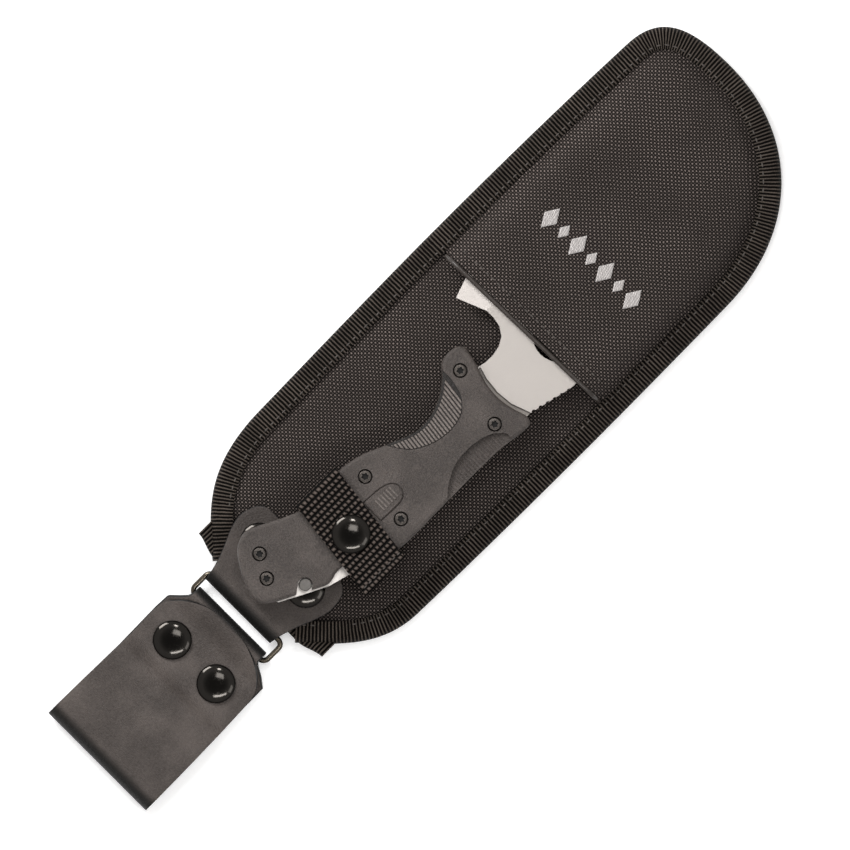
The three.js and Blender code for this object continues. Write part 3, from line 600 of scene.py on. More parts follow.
def bottom_tape():
    """Tape folded over the bottom. Its ends stand out past the sheath's sides like ears."""
    left, right, count = -32.5, 35.5, 46
    rows = []
    for i in range(count + 1):
        x = left + (right - left) * i / count
        top = -85.2
        bottom = -91.8 - 2.6 * ease((x - left) / 11) * ease((right - x) / 11)
        row = [(x, top - (top - bottom - 1.6) * k / 6, 6.75) for k in range(7)]
        row += [(x, bottom + 1.6 + 1.6 * math.cos(a), 4.85 + 1.9 * math.sin(a))
                for a in (math.pi / 2 + math.pi * k / 8 for k in range(1, 8))]
        row += [(x, bottom + 1.6 + (top - bottom - 1.6) * k / 6, 2.95) for k in range(7)]
        rows.append(row)
    return finished(sheet_of("bottom_tape", rows, 1.1), TAPE, "sheath", "binding_tape", "bottom_binding")


def edge_tree():
    tree = KDTree(len(EDGE_FINE))
    for i, p in enumerate(EDGE_FINE):
        tree.insert((p.x, p.y, 0), i)
    tree.balance()
    return tree


EDGE_FINE = sheath_edge(0.4)
EDGE_TREE = edge_tree()


def depth_in(x, y):
    """How far a place lies inside the sheath's edge, in millimetres."""
    return EDGE_TREE.find((x, y, 0))[2]


BASE_STEPS = ((1.0, 5.8), (9.0, 5.9), (12.0, 6.6), (16.0, 7.1), (22.0, 7.3), (30.0, 7.3))
POCKET_STEPS = ((1.0, 7.3), (9.2, 7.5), (10.2, 11.0), (12.6, 15.4), (16.5, 17.7), (22.0, 18.6),
                (60.0, 18.6))


def base_height(x, y):
    return along_steps(depth_in(x, y), BASE_STEPS) + 0.16 * slackness(x, y) - 0.1


def slackness(x, y):
    """The slow unevenness of padded cloth, from -1 to 1."""
    return (math.sin(0.21 * x + 0.07 * y + 0.6) + math.sin(0.11 * y - 0.16 * x + 1.9)
            + math.sin(0.23 * y + 0.05 * x + 4.0)) / 3


def pocket_height(x, y):
    """The pocket is deepest at its mouth and thins towards the tip."""
    share = 1 - 0.52 * (y - MOUTH_Y) / 128.8
    above = y - mouth_line(x)
    hem = 0.7 * ease((6.0 - above) / 1.2) - 0.9 * math.exp(-((above - 5.0) / 1.3) ** 2)
    crown = along_steps(depth_in(x, y), POCKET_STEPS) - 7.3
    return 7.3 + crown * share + (hem + 0.3 * slackness(x, y)) * ease(crown / 9)


def quilted(name, low, high, step, height, wall, held, pressure, cap):
    """A padded panel: a sheet over the foam's form, swelled by a cloth simulation and given a wall.

    low and high are where it begins and ends along y, held says how firmly a place is sewn down, from
    0 to 1, and cap is how far the cloth may move, in millimetres.
    """
    columns = round(2 * SHEATH_SIDE / step)
    rows = round((high - low) / step)
    bpy.ops.mesh.primitive_grid_add(x_subdivisions=columns, y_subdivisions=rows, size=2)
    obj = bpy.context.active_object
    obj.name = name
    for v in obj.data.vertices:
        x = v.co.x * SHEATH_SIDE
        y = low + (high - low) * (v.co.y + 1) / 2
        y += MOUTH_SLOPE * x if low > 0 and y < low + 30 else 0
        v.co = (x, y, 0)
    inside = [within_edge(v.co) and depth_in(v.co.x, v.co.y) > 1.0 for v in obj.data.vertices]
    select_only(obj)
    bpy.ops.object.mode_set(mode="EDIT")
    bpy.ops.mesh.select_all(action="DESELECT")
    bpy.ops.object.mode_set(mode="OBJECT")
    for v, keep in zip(obj.data.vertices, inside):
        v.select = not keep
    edit_selected(obj, lambda: bpy.ops.mesh.delete(type="VERT"))
    for v in obj.data.vertices:
        v.co.z = height(v.co.x, v.co.y)
    soften = obj.modifiers.new("soften", "SMOOTH")
    soften.factor, soften.iterations = 0.5, 3
    soften.use_x = soften.use_y = False
    obj.data.transform(Matrix.Scale(MM, 4))
    apply_modifiers(obj)
    rest = [v.co.copy() for v in obj.data.vertices]
    pin = obj.vertex_groups.new(name="pin")
    for v in obj.data.vertices:
        pin.add([v.index], held(v.co / MM), "REPLACE")
    cloth = obj.modifiers.new("cloth", "CLOTH")
    settings = cloth.settings
    settings.quality, settings.mass = 5, 0.3
    settings.tension_stiffness = settings.compression_stiffness = 15
    settings.bending_stiffness = 0.5
    settings.use_pressure, settings.uniform_pressure_force = True, pressure
    settings.effector_weights.gravity = 0
    settings.vertex_group_mass = "pin"
    cloth.collision_settings.use_collision = False
    cloth.point_cache.frame_end = CLOTH_FRAMES
    scene = bpy.context.scene
    for number in range(1, CLOTH_FRAMES + 1):
        scene.frame_set(number)
    apply_modifiers(obj)
    scene.frame_set(1)
    for v, start in zip(obj.data.vertices, rest):
        move = v.co - start
        if move.length > cap * MM:
            v.co = start + move.normalized() * cap * MM
    soften = obj.modifiers.new("soften", "SMOOTH")
    soften.factor, soften.iterations = 0.5, 2
    solid = obj.modifiers.new("wall", "SOLIDIFY")
    solid.thickness, solid.offset = wall * MM, -1.0
    apply_modifiers(obj)
    return smooth(obj, 60)


def within_edge(co):
    """Whether a place is within the sheath's edge."""
    hit = False
    for a, b in zip(EDGE, EDGE[1:] + EDGE[:1]):
        if (a.y > co.y) != (b.y > co.y) and co.x < a.x + (co.y - a.y) * (b.x - a.x) / (b.y - a.y):
            hit = not hit
    return hit


def edit_selected(obj, *steps):
    select_only(obj)
    bpy.ops.object.mode_set(mode="EDIT")
    for step in steps:
        step()
    bpy.ops.object.mode_set(mode="OBJECT")


def panels():
    base = quilted("base_pad", -93.5, 181, 1.4, base_height, 0.9,
                   lambda co: 1.0 if depth_in(co.x, co.y) < 11.5 or co.y < -84 else 0.0, 0.5, 0.6)
    finished(base, CLOTH, "sheath", "nylon", "base_panel")
    pocket = quilted("pocket_pad", MOUTH_Y, 182, 1.1, pocket_height, 1.3,
                     lambda co: 1.0 if depth_in(co.x, co.y) < 11 else 0.0, 1.2, 0.8)
    finished(pocket, CLOTH, "sheath", "nylon", "pocket_front")


def tube(name, points, radius, closed=False, steps=3):
    data = bpy.data.curves.new(name, "CURVE")
    data.dimensions, data.bevel_depth, data.bevel_resolution = "3D", radius * MM, steps
    data.use_fill_caps = not closed
    spline = data.splines.new("POLY")
    spline.points.add(len(points) - 1)
    for knot, p in zip(spline.points, points):
        knot.co = (*(Vector(p) * MM), 1)
    spline.use_cyclic_u = closed
    obj = bpy.data.objects.new(name, data)
    bpy.context.scene.collection.objects.link(obj)
    select_only(obj)
    bpy.ops.object.convert(target="MESH")
    return smooth(edit(bpy.context.view_layer.objects.active, merge(), outward), 50)


def mouth_piping():
    xs = [-40.5 + 82.0 * k / 60 for k in range(61)]
    points = [(x, mouth_line(x) - 1.0, pocket_height(x, mouth_line(x) + 0.5) - 0.55) for x in xs]
    obj = tube("mouth_piping", points, 0.95)
    return finished(obj, TRIM, "sheath", "trim", "mouth_trim")


def stitches(name, path, height, material, slot, pitch=3.3, length=2.2, radius=0.34, body="sheath"):
    """A line of sewing: one stitch is modelled, and each of the others is a copy of it."""
    bpy.ops.mesh.primitive_uv_sphere_add(segments=8, ring_count=6, radius=radius * MM)
    first = bpy.context.active_object
    first.data.transform(Matrix.Diagonal((length / 2 / radius, 1, 0.75, 1)))
    pieces, walked = [], pitch / 2
    for a, b in zip(path, path[1:]):
        span = (b - a).length
        while walked < span:
            p = a.lerp(b, walked / span)
            turn = Matrix.Rotation(math.atan2(b.y - a.y, b.x - a.x), 4, "Z")
            one = bpy.data.objects.new(name, first.data.copy())
            one.data.transform(Matrix.Translation(Vector((p.x, p.y, height(p.x, p.y))) * MM) @ turn)
            bpy.context.scene.collection.objects.link(one)
            pieces.append(one)
            walked += pitch
        walked -= span
    bpy.data.objects.remove(first)
    return finished(smooth(join(name, pieces), 60), material, body, slot)


def on_top(obj, x, y):
    """How high a piece's upper face is at a place."""
    hit, where, *_ = obj.ray_cast(Vector((x, y, 60)) * MM, Vector((0, 0, -1)))
    return where.z / MM if hit else pocket_height(x, y)


def sewing():
    pocket = bpy.data.objects["pocket_pad"]
    seam = [p for p in inset(EDGE, BINDING_WIDTH - 1.9)]
    top = [p for p in seam[2:-2]]
    stitches("binding_seam", top, lambda x, y: binding_height(y) - 0.12, THREAD, "binding_tape")
    hem = [Vector((x, mouth_line(x) + 5.0)) for x in range(-38, 39, 4)]
    stitches("mouth_seam", hem, lambda x, y: on_top(pocket, x, y) + 0.1, THREAD, "nylon", 3.0, 2.0, 0.36)


def motif():
    """A row of satin-stitched lozenges on the pocket."""
    pieces = []
    for k in range(7):
        x, y = -22.5 + 7.5 * k, 91.7
        half = (3.3, 5.3) if k % 2 == 0 else (2.2, 3.4)
        bpy.ops.mesh.primitive_circle_add(vertices=4, radius=MM, fill_type="NGON")
        one = bpy.context.active_object
        one.data.transform(Matrix.Diagonal((half[0], half[1], 1, 1)))
        edit(one,
             lambda: bpy.ops.mesh.extrude_region_move(TRANSFORM_OT_translate={"value": (0, 0, 0.5 * MM)}),
             lambda: bpy.ops.mesh.inset(thickness=0.5 * MM, depth=0.25 * MM), outward)
        one.data.transform(Matrix.Translation(Vector((x, y, pocket_height(x, y) + 0.25)) * MM))
        pieces.append(one)
    return finished(join("stitched_lozenges", pieces), EMBROIDERY, "sheath", "nylon")


binding()
bottom_tape()
panels()
mouth_piping()
sewing()
motif()

# ---- Leather ------------------------------------------------------------------------------------------


def width_at(points, y):
    """Where an edge is at a height, from its points of (x, y)."""
    ordered = sorted(points, key=lambda p: p[1])
    if y <= ordered[0][1]:
        return ordered[0][0]
    for (x0, y0), (x1, y1) in zip(ordered, ordered[1:]):
        if y <= y1:
            return x0 + (x1 - x0) * (y - y0) / max(1e-6, y1 - y0)
    return ordered[-1][0]


def hide_strip(name, path, left, right, thickness, body, slot, *nodes, columns=24):
    """A strip of leather along a path of (y, z), cut to its left and right edges."""
    rows = []
    for y, z in path:
        a, b = width_at(left, y), width_at(right, y)
        rows.append([(a + (b - a) * k / columns, y, z) for k in range(columns + 1)])
    obj = sheet_of(name, rows, thickness, (HIDE, HIDE_RIM_SHADOW))
    # The end rims where the rear strip meets the folded strip keep the leather's look, without the painted
    # rim shadow.
    for face in obj.data.polygons:
        if face.center.y < -172 * MM and abs(face.normal.y) > 0.5 and face.center.z < 2.5 * MM:
            face.material_index = 0
    return finished(obj, None, body, slot, *nodes)


def run(*ends, step=0.8):
    """Points along straight runs."""
    out = [Vector(ends[0])]
    for a, b in zip(ends, ends[1:]):
        a, b = Vector(a), Vector(b)
        count = max(1, round((b - a).length / step))
        out += [a.lerp(b, k / count) for k in range(1, count + 1)]
    return [tuple(p) for p in out]


def turn(y, z, radius, start, end, steps=14):
    return [(y + radius * math.cos(math.radians(start + (end - start) * k / steps)),
             z + radius * math.sin(math.radians(start + (end - start) * k / steps)))
            for k in range(1, steps)]


def smooth_edge(points, chord=0.6):
    ring = [Vector(points[0])] + through(points, chord)
    return [tuple(p) for p in ring]


def hanger():
    right = smooth_edge([(17.2, -103), (18.6, -97), (21, -90), (23.6, -83.5), (25.2, -77), (24.4, -70.5),
                         (22.6, -67.8), (20.4, -66.4), (18.0, -66.0)])
    left = smooth_edge([(-17.8, -103), (-19.6, -95.5), (-22, -89), (-25, -82), (-26.2, -76), (-25, -70.5),
                        (-23.2, -67.8), (-21, -66.4), (-18.5, -66.0)])
    front = run((-66, 8.9), (-70, 8.9), step=0.35) + run((-70, 8.9), (-97.6, 8.9))[1:]
    rear = run((-97.6, 1.0), (-66, 1.0))
    path = front + turn(-98.05, 4.95, 3.95, 90, 270) + rear
    return hide_strip("hanger", path, left, right, 2.0, "sheath", "leather", "hanger_leather")


FOLD_Y = -177.8
REAR_LEFT = [(-24.5, -178), (-24.2, -160), (-23.9, -145), (-24.3, -124), (-24.0, -117.8), (-20.6, -114.6),
             (-18.2, -112.0), (-17.6, -109.5), (-17.6, -107)]
REAR_RIGHT = [(29.3, -178), (29.1, -160), (28.6, -140), (28.1, -127), (28, -117.5), (24.2, -114.6),
              (20.4, -112.5), (19.5, -111.6), (19.3, -109.5), (19.3, -107)]


def belt_loop():
    rear = run((-173, 1.1), (-110.1, 1.1)) + turn(-110.1, 3.6, 2.5, -90, 90, 16)
    rear += run((-110.4, 6.1), (-111.5, 6.1)) + run((-112.2, 5.9), (-117.6, 3.9))
    rear += run((-118.5, 3.6), (-138, 3.6))
    hide_strip("belt_loop_rear", rear, REAR_LEFT, REAR_RIGHT, LEATHER, "belt_loop", "leather", "belt_rear")
    flap_right = smooth_edge([(29.3, -178), (29.1, -160), (28.6, -140), (28.0, -127), (27.0, -121.0),
                              (24.0, -116.6), (19.5, -113.2), (14.0, -110.9), (8.0, -109.4), (2.5, -108.8)])
    flap_left = smooth_edge([(-24.5, -178), (-24.2, -160), (-23.6, -140), (-23.9, -127), (-23.2, -121.2),
                             (-20.6, -117.2), (-16.5, -113.6), (-11.5, -111), (-6, -109.4), (-1.5, -108.8)])
    flap = run((-173, 1.1), (FOLD_Y, 1.1), step=0.5) + turn(FOLD_Y, 5.5, 4.4, 270, 90, 20)
    flap += run((FOLD_Y, 9.9), (-148, 9.9))
    flap += [tuple(p) for p in bezier((-148, 9.9), (-142, 9.9), (-142, 6.2), (-135, 6.2), 0.8)]
    flap += run((-135, 6.2), (-119.5, 6.2))[1:]
    flap += [tuple(p) for p in bezier((-119.5, 6.2), (-116, 6.8), (-113, 9.0), (-110, 9.1), 0.5)]
    flap += run((-110, 9.1), (-108.8, 9.2), step=0.2)[1:]
    front = hide_strip("belt_loop_front", flap, flap_left, flap_right, LEATHER, None, "leather",
                       "belt_flap")
    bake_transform(front)


hanger()
belt_loop()


# ---- Retention strap ----------------------------------------------------------------------------------

STRAP_WIDTH = 21.5


def strap_rows(path, columns=16):
    """Rows of webbing over a path of (x, z). Its edges slant a little."""
    rows = []
    for x, z in path:
        top = -36.5 - 0.125 * (x + 12.5)
        rows.append([(x, top - STRAP_WIDTH * k / columns, z) for k in range(columns + 1)])
    return rows


def retention_strap():
    over = run((-12.7, 7.6), (-12.7, 27.0)) + [(-12.55, 27.9), (-12.0, 28.5)]
    over += run((-11.2, 28.8), (31, 28.8))
    piece = finished(sheet_of("strap_over_webbing", strap_rows(over), WEBBING), WEB, None, "webbing",
                     "strap_left_riser", "strap_flap")
    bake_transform(piece)
    under = run((30.1, 7.6), (30.1, 25.3)) + [(29.95, 26.2), (29.4, 26.9)] + run((28.6, 27.1), (1.5, 27.1))
    piece = finished(sheet_of("strap_under_webbing", strap_rows(under), WEBBING), WEB, None,
                     "webbing", "strap_right_riser", "strap_tab")
    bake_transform(piece)
    hem = [Vector((28.2, -41.6 - k)) for k in range(0, 22, 3)]
    stitches("strap_seam", hem, lambda x, y: 29.45, THREAD, "webbing", 2.6, 1.8, 0.3, "strap_over")


retention_strap()

# ---- Snaps --------------------------------------------------------------------------------------------


def snap_cap(name, x, y, z, body, node):
    """A domed cap with a small rolled rim, from the upper half of a ball."""
    bpy.ops.mesh.primitive_uv_sphere_add(segments=64, ring_count=40, radius=SNAP_RADIUS * MM)
    obj = bpy.context.active_object
    obj.name = name
    edit(obj, lambda: bpy.ops.mesh.bisect(plane_co=(0, 0, 0), plane_no=(0, 0, 1), use_fill=True,
                                          clear_inner=True))
    for v in obj.data.vertices:
        v.co.z = v.co.z * CAP_RISE / SNAP_RADIUS + CAP_RIM * MM if v.co.z > 1e-6 else v.co.z
    obj.data.transform(Matrix.Translation(Vector((x, y, z)) * MM))
    return finished(smooth(edit(obj, outward), 50), CAP, body, "snap", node)


snap_cap("cap_hanger_left", -13.4, -78, 10.2, "sheath", "hanger_cap_left")
snap_cap("cap_hanger_right", 12.2, -78, 10.2, "sheath", "hanger_cap_right")
snap_cap("cap_belt_left", -10.4, -129, 7.6, "belt_loop_flap", "belt_cap_left")
snap_cap("cap_belt_right", 13.7, -129, 7.6, "belt_loop_flap", "belt_cap_right")
snap_cap("cap_strap", 9.7, -50.5, 29.8, "strap_over", "strap_cap")


def wire_ring():
    """A rectangular ring of round wire. Its two bars lie at different heights."""
    left, right, top, low, r = -20.1 + 1.1, 22.3 - 1.1, -99.7, -110.1, 2.4
    corners = ((right - r, top - r, 0), (left + r, top - r, 90), (left + r, low + r, 180),
               (right - r, low + r, 270))
    points = []
    for cx, cy, start in corners:
        for k in range(9):
            a = math.radians(start + 90 * k / 8)
            y = cy + r * math.sin(a)
            points.append((cx + r * math.cos(a), y, 3.6 + 1.35 * (y - low) / (top - low)))
    return finished(tube("wire_ring", points, 1.1, True, 6), WIRE, "ring", "hardware", "ring")


wire_ring()

# ---- Tool ---------------------------------------------------------------------------------------------


def slab(name, ring, low, high, rounding, steps=5):
    """A block over an outline whose upper edge is rounded, by extruding and insetting its face."""
    obj = mesh_object(name, [(p.x, p.y, low) for p in ring], [range(len(ring))])
    rise = (high - low - rounding) * MM
    moves = [lambda: bpy.ops.mesh.extrude_region_move(TRANSFORM_OT_translate={"value": (0, 0, rise)})]
    for k in range(steps):
        a, b = math.pi / 2 * k / steps, math.pi / 2 * (k + 1) / steps
        across = rounding * (math.cos(a) - math.cos(b)) * MM
        up = rounding * (math.sin(b) - math.sin(a)) * MM
        moves.append(lambda t=across, d=up: bpy.ops.mesh.inset(thickness=t, depth=d))
    edit(obj, *moves)
    edit(obj, outward)
    return obj


def prism(name, ring, low, high):
    obj = mesh_object(name, [(p.x, p.y, low) for p in ring], [range(len(ring))])
    edit(obj, lambda: bpy.ops.mesh.extrude_region_move(
        TRANSFORM_OT_translate={"value": (0, 0, (high - low) * MM)}))
    edit(obj, outward)
    return obj


def grip_outline():
    return outline(
        (-10.5, 32.3),
        ("through", [(-12.9, 30), (-13.6, 25.5), (-12.3, 21.2), (-8, 17.3), (-3.5, 11), (-0.7, 3),
                     (-0.7, -5), (-4.5, -15), (-9.2, -26), (-11, -35), (-11.1, -46), (-10.7, -57),
                     (-13.5, -65), (-18.8, -75.5), (-20.2, -80.5), (-17.6, -86.3), (-11, -91.3),
                     (-4, -94.5), (1.6, -95.7), (4.9, -93.9), (8.5, -88.7), (12.4, -80.7), (16.8, -72.3),
                     (17.1, -69), (16.2, -65), (17.2, -59.5), (21.5, -53), (25.5, -46.5), (27.4, -38),
                     (27.3, -20), (27.1, 0), (27.4, 14), (28.4, 21), (28.9, 26), (28.6, 29), (25.5, 30.1),
                     (18, 28), (11, 27.3), (4, 28.3), (-3, 30.7), (-10.5, 32.3)]), chord=1.0)


THUMB_REST = outline((-12, 19.5), ("to", (-5.6, 19.6)),
                     ("through", [(1.2, 17.9), (6.4, 13.6), (8.5, 7.5), (8.3, 1), (6.6, -5), (2.9, -11.2),
                                  (-3.2, -15.8), (-8.5, -18)]), ("to", (-14, 0)), chord=0.8)
FINGER_REST = outline((34, 19.8), ("to", (24.6, 19.8)),
                      ("through", [(20.6, 15), (18.6, 7.5), (18.7, 0), (20.2, -5.5), (23.4, -11),
                                   (27.2, -14.8), (34, -16)]), chord=0.8)
GRIP_SCREWS = ((-5.3, 24.3), (19, 19), (-2.3, -31.2), (19.3, -33))
BUTT_SCREWS = ((-10.1, -81.7), (-1.3, -86.5))
SCREW_SEAT, SCREW_TOP = 5.1, 6.45
REST_FLOOR = 5.65
RIB_PITCH = 1.4


def ribs(name, ring, x0, x1, y0, y1, top, slope, width=0.95):
    """Raised ribs across a rest: one is modelled and the others are copies, trimmed to the rest."""
    pieces = []
    count = int((y1 - y0) / RIB_PITCH)
    for k in range(count):
        y = y0 + RIB_PITCH * k
        bpy.ops.mesh.primitive_cylinder_add(vertices=10, radius=width / 2 * MM, depth=(x1 - x0) * MM)
        one = bpy.context.active_object
        one.data.transform(Matrix.Rotation(math.pi / 2, 4, "Y"))
        one.data.transform(Matrix.Rotation(math.atan(slope), 4, "Z"))
        one.data.transform(Matrix.Translation(Vector(((x0 + x1) / 2, y, top)) * MM))
        pieces.append(one)
    obj = join(name, pieces)
    return smooth(trimmed(obj, prism("trim_tool", inset(ring, 0.35), top - 1.5, top + 1.5)), 40)


TAB = outline((4.6, -39), ("through", [(5.2, -31), (6.8, -26.2), (10, -24.6), (13.2, -26), (14.3, -30),
                                       (14.0, -39)]), chord=0.7)


def stud_slot(steps=16):
    """The slot that the stud leaves by: round behind the stud and open past the grip's edge."""
    along = Vector((math.sin(SLOT_TURN), -math.cos(SLOT_TURN))) * 11
    side = Vector((along.y, -along.x)).normalized() * STUD_SLOT
    ring = [STUD - side, STUD - side + along, STUD + side + along, STUD + side]
    start = math.atan2(side.y, side.x)
    for k in range(1, steps):
        angle = start - math.pi * k / steps
        ring.append(STUD + STUD_SLOT * Vector((math.cos(angle), math.sin(angle))))
    area = sum(a.x * b.y - b.x * a.y for a, b in zip(ring, ring[1:] + ring[:1]))
    return ring if area > 0 else ring[::-1]


def grip_front():
    ring = grip_outline()
    obj = slab("grip_front", ring, GRIP_INNER, GRIP_FACE, 1.5, 5)
    screws_at = GRIP_SCREWS + BUTT_SCREWS
    bores = [prism("bore", circle(x, y, 2.95), SCREW_SEAT - 0.6, 9) for x, y in screws_at]
    bores += [prism("bore", circle(x, y, 1.6, 24), 1, 9) for x, y in screws_at]
    thumb = prism("thumb", THUMB_REST, REST_FLOOR, 9)
    finger = prism("finger", FINGER_REST, 5.2, 9)
    butt = [Vector(p) for p in ((-30, -110), (40, -110), (40, -38.7), (-30, -38.7))]
    liners = prism("liners", butt, 1, 3.3)
    slot_cut = prism("slot", stud_slot(), 1, 9)
    moat = prism("moat", inset(TAB, -0.5), GRIP_FACE - 0.7, 9)
    cut(obj, *bores, thumb, finger, liners, slot_cut, moat)
    bevel = obj.modifiers.new("soft_edges", "BEVEL")
    bevel.width, bevel.segments = 0.18 * MM, 2
    bevel.limit_method, bevel.angle_limit = "ANGLE", math.radians(50)
    apply_modifiers(obj)
    return flat_faces(smooth(obj, 50))


def mirrored(obj, name):
    other = bpy.data.objects.new(name, obj.data.copy())
    bpy.context.scene.collection.objects.link(other)
    other.data.transform(Matrix.Diagonal((1, 1, -1, 1)))
    return flat_faces(smooth(edit(other, outward), 50))


def grips():
    front = grip_front()
    thumb = ribs("thumb_ribs", THUMB_REST, -16, 12, -17, 19, 5.7, -0.12)
    finger = ribs("finger_ribs", FINGER_REST, 16, 30, -14, 19, 5.15, 0.0, 0.6)
    grip_ring = inset(grip_outline(), 1.0)
    for obj in (thumb, finger):
        smooth(trimmed(obj, prism("trim_tool", grip_ring, 3, 8)), 40)
    tab = slab("grip_tab", TAB, GRIP_FACE - 0.9, GRIP_FACE + 0.1, 0.35, 3)
    bars = []
    for k in range(6):
        bpy.ops.mesh.primitive_cube_add(size=MM)
        one = bpy.context.active_object
        one.data.transform(Matrix.Translation(Vector((9.6, -27.6 - 1.5 * k, GRIP_FACE + 0.2)) * MM)
                           @ Matrix.Diagonal((5.2, 0.65, 0.5, 1)))
        bars.append(one)
    marks = join("tab_bars", bars)
    for obj in (front, thumb, finger, tab, marks):
        # The thumb's ribs and the tab's bars take lighter copies of the grip's finish: painted highlights
        # on their raised tops.
        look = {thumb: GRIP_RIBS_LIT, marks: GRIP_BARS_LIT}.get(obj, GRIP)
        rear = mirrored(obj, obj.name + "_rear")
        for piece, node in ((obj, "grip_scale_front"), (rear, "grip_scale_rear")):
            sunk = [abs(abs(f.center.z) / MM - REST_FLOOR) < 0.02 for f in piece.data.polygons]
            finished(lay_in_tool(piece), look, "tool", "grip", *([node] if obj is front else []))
            if obj is front:
                piece.data.materials.append(GRIP_DEEP)
                for face, low in zip(piece.data.polygons, sunk):
                    face.material_index = 1 if low else 0


def star(x, y, radius, depth, steps=36):
    ring = []
    for k in range(steps):
        a = 2 * math.pi * k / steps
        reach = radius + depth * math.cos(6 * a)
        ring.append(Vector((x + reach * math.cos(a), y + reach * math.sin(a))))
    return ring


def screws():
    for number, (x, y) in enumerate(GRIP_SCREWS + BUTT_SCREWS, 1):
        head = slab(f"screw_head_{number}", circle(x, y, 2.5, 36), 1.8, SCREW_TOP, 0.35, 3)
        cut(head, prism("drive", star(x, y, 1.3, 0.22), SCREW_TOP - 1.3, SCREW_TOP + 1))
        head.data.materials.append(SCREW)
        head.data.materials.append(RECESS_SHADE)
        # Faces down in the star drive take the near-black look: painted shade in the recess.
        for face in head.data.polygons:
            middle = face.center / MM
            low = middle.z < SCREW_TOP - 0.4 and (middle.xy - Vector((x, y))).length < 1.7
            face.material_index = 1 if low and middle.z > SCREW_TOP - 2 else 0
        smooth(head, 30)
        finished(lay_in_tool(head), None, "tool", "screw", f"screw_{number}")


def shoulder():
    """The low step where the head meets the grip."""
    low = [(25.8, 29.2), (18, 26.6), (11, 26.0), (4, 27.0), (-0.6, 28.6)]
    widths = (3.1, 2.9, 2.8, 2.6, 2.4)
    high = [(x, y + wide) for (x, y), wide in zip(low, widths)]
    ring = [Vector(p) for p in low + high[::-1]]
    for sign in (1, -1):
        obj = slab("shoulder", ring, PLATE_HALF - 0.05, PLATE_HALF + 1.1, 0.5, 3)
        if sign < 0:
            obj.data.transform(Matrix.Diagonal((1, 1, -1, 1)))
            edit(obj, outward)
        finished(smooth(lay_in_tool(obj), 40), SHOULDER, "tool", "tool_steel")


def thumb_stud():
    profile = [(0, 1.4), (1.9, 1.4), (1.9, 4.3), (2.5, 4.7), (2.5, 5.7), (2.2, 6.0), (0, 6.0)]
    obj = turned("thumb_peg", STUD.x, STUD.y, 0, profile, 40)
    return finished(lay_in_tool(obj), PEG, "knife", "tool_steel", "thumb_stud")


grips()
screws()
shoulder()
thumb_stud()

# ---- CAD nodes that keep their shape ------------------------------------------------------------------

# The knife's blade takes a lighter copy of the steel: a painted highlight.
KEPT = {
    "back_panel": CLOTH, "stiffener_board": BOARD,
    "hanger_rivet_left": NICKEL, "hanger_rivet_right": NICKEL,
    "belt_stud_left": NICKEL, "belt_stud_right": NICKEL, "belt_socket_left": NICKEL,
    "belt_socket_right": NICKEL, "strap_socket": NICKEL, "strap_stud": NICKEL, "liner_front": LINER,
    "liner_lock": LINER, "butt_spacer": PLASTIC, "pivot_barrel": NICKEL, "washer_front": BRONZE,
    "washer_rear": BRONZE, "head_plate": STEEL, "knife_blade": BLADE_LIT,
    **{f"nut_{i}": SCREW for i in range(1, 7)},
}
for node_name, look in KEPT.items():
    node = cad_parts[node_name]
    node.data.materials.clear()
    node.data.materials.append(look)
# Faces tilted away from the head's flat sides, its bevels, take the lighter steel: a painted highlight.
plate_up = Vector((0, math.sin(TOOL_TILT), math.cos(TOOL_TILT)))
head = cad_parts["head_plate"]
head.data.materials.append(BEVEL)
for face in head.data.polygons:
    face.material_index = 1 if 0.7 < abs(face.normal.dot(plate_up)) < 0.998 else 0

# ---- Floor, light and camera --------------------------------------------------------------------------


def floor():
    bpy.ops.mesh.primitive_plane_add(size=40, location=(0, 0, -0.2 * MM))
    obj = bpy.context.active_object
    obj.name = "floor"
    s = Surface("pale_floor", Roughness=0.9, Specular_IOR_Level=0.1)
    s.shader.inputs["Base Color"].default_value = (0.93, 0.93, 0.93, 1)
    s.shader.inputs["Emission Color"].default_value = (1, 1, 1, 1)
    s.shader.inputs["Emission Strength"].default_value = 0.3
    obj.data.materials.append(s.material)


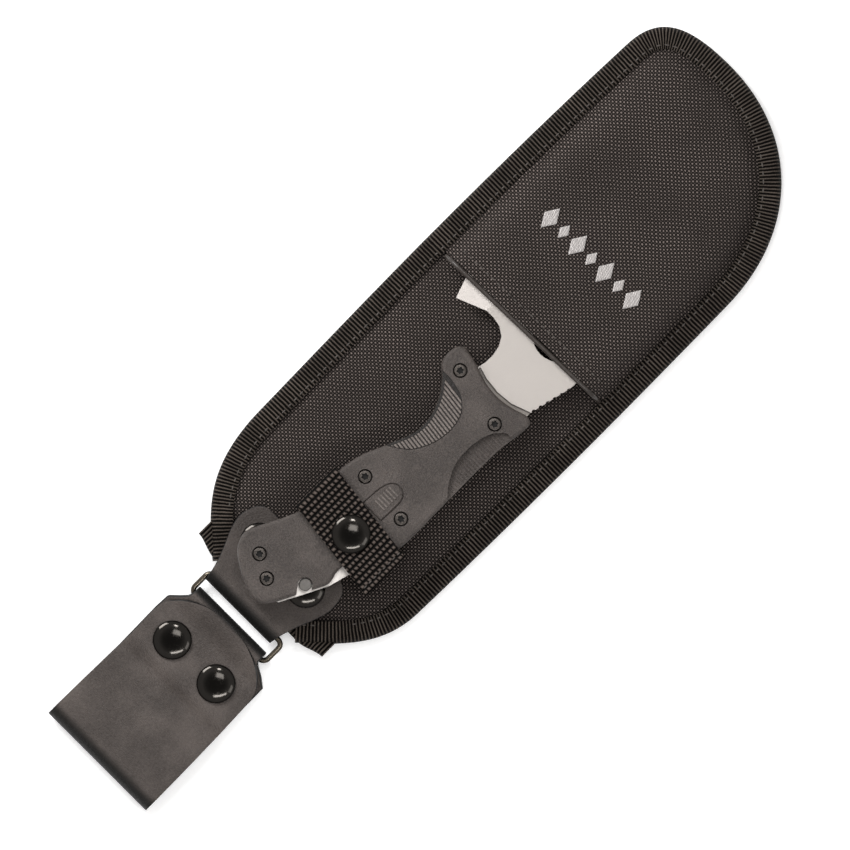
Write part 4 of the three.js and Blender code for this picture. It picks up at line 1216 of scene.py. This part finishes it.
def softbox(name, x, y, z, size, watts):
    light = bpy.data.lights.new(name, "AREA")
    light.shape, light.size, light.size_y, light.energy = "RECTANGLE", size[0], size[1], watts
    obj = bpy.data.objects.new(name, light)
    obj.location = (x, y, z)
    obj.rotation_euler = (Vector((0, 0, 0)) - obj.location).to_track_quat("-Z", "Y").to_euler()
    bpy.context.scene.collection.objects.link(obj)


# How bright the sky is, from the horizon at 0 to straight up at 1.
SKY = ((0.0, 0.12), (0.3, 0.2), (0.6, 0.72), (0.9, 0.74), (0.975, 0.25), (1.0, 0.2))

# Each lamp's name, its place and size in metres, and its watts.
LAMPS = (
    ("key", -0.75, 0.05, 0.6, (0.4, 0.4), 8.5),
    ("fill", 0.5, 0.1, 0.7, (0.25, 0.25), 0.6),
    ("window", -0.26, 0.3, 0.85, (0.1, 0.1), 1.0),
    ("window_low", 0.3, -0.25, 0.75, (0.34, 0.07), 1.3),
    ("lantern", -0.06, 0.1, 0.95, (0.2, 0.15), 0.7),
)


def studio():
    """Soft boxes at both sides under a bright band of sky that darkens straight up."""
    scene = bpy.context.scene
    world = bpy.data.worlds.new("studio")
    world.use_nodes = True
    tree = world.node_tree
    where = tree.nodes.new("ShaderNodeTexCoord")
    split = tree.nodes.new("ShaderNodeSeparateXYZ")
    fall = tree.nodes.new("ShaderNodeValToRGB")
    stops = fall.color_ramp.elements
    while len(stops) < len(SKY):
        stops.new(1.0)
    for stop, (place, grey) in zip(stops, SKY):
        stop.position, stop.color = place, (grey, grey, grey, 1)
    tree.links.new(where.outputs["Generated"], split.inputs[0])
    tree.links.new(split.outputs["Z"], fall.inputs[0])
    tree.links.new(fall.outputs[0], tree.nodes["Background"].inputs[1])
    tree.nodes["Background"].inputs[0].default_value = (1, 0.985, 0.97, 1)
    scene.world = world
    for lamp in LAMPS:
        softbox(*lamp)
    camera = bpy.data.cameras.new("camera")
    camera.type, camera.ortho_scale = "ORTHO", 0.3315
    camera.clip_end = 10
    obj = bpy.data.objects.new("camera", camera)
    obj.location = (0, 0, 1.8)
    obj.rotation_euler = (0, 0, math.radians(45))
    scene.collection.objects.link(obj)
    scene.camera = obj
    scene.view_settings.view_transform = "Standard"


floor()
studio()
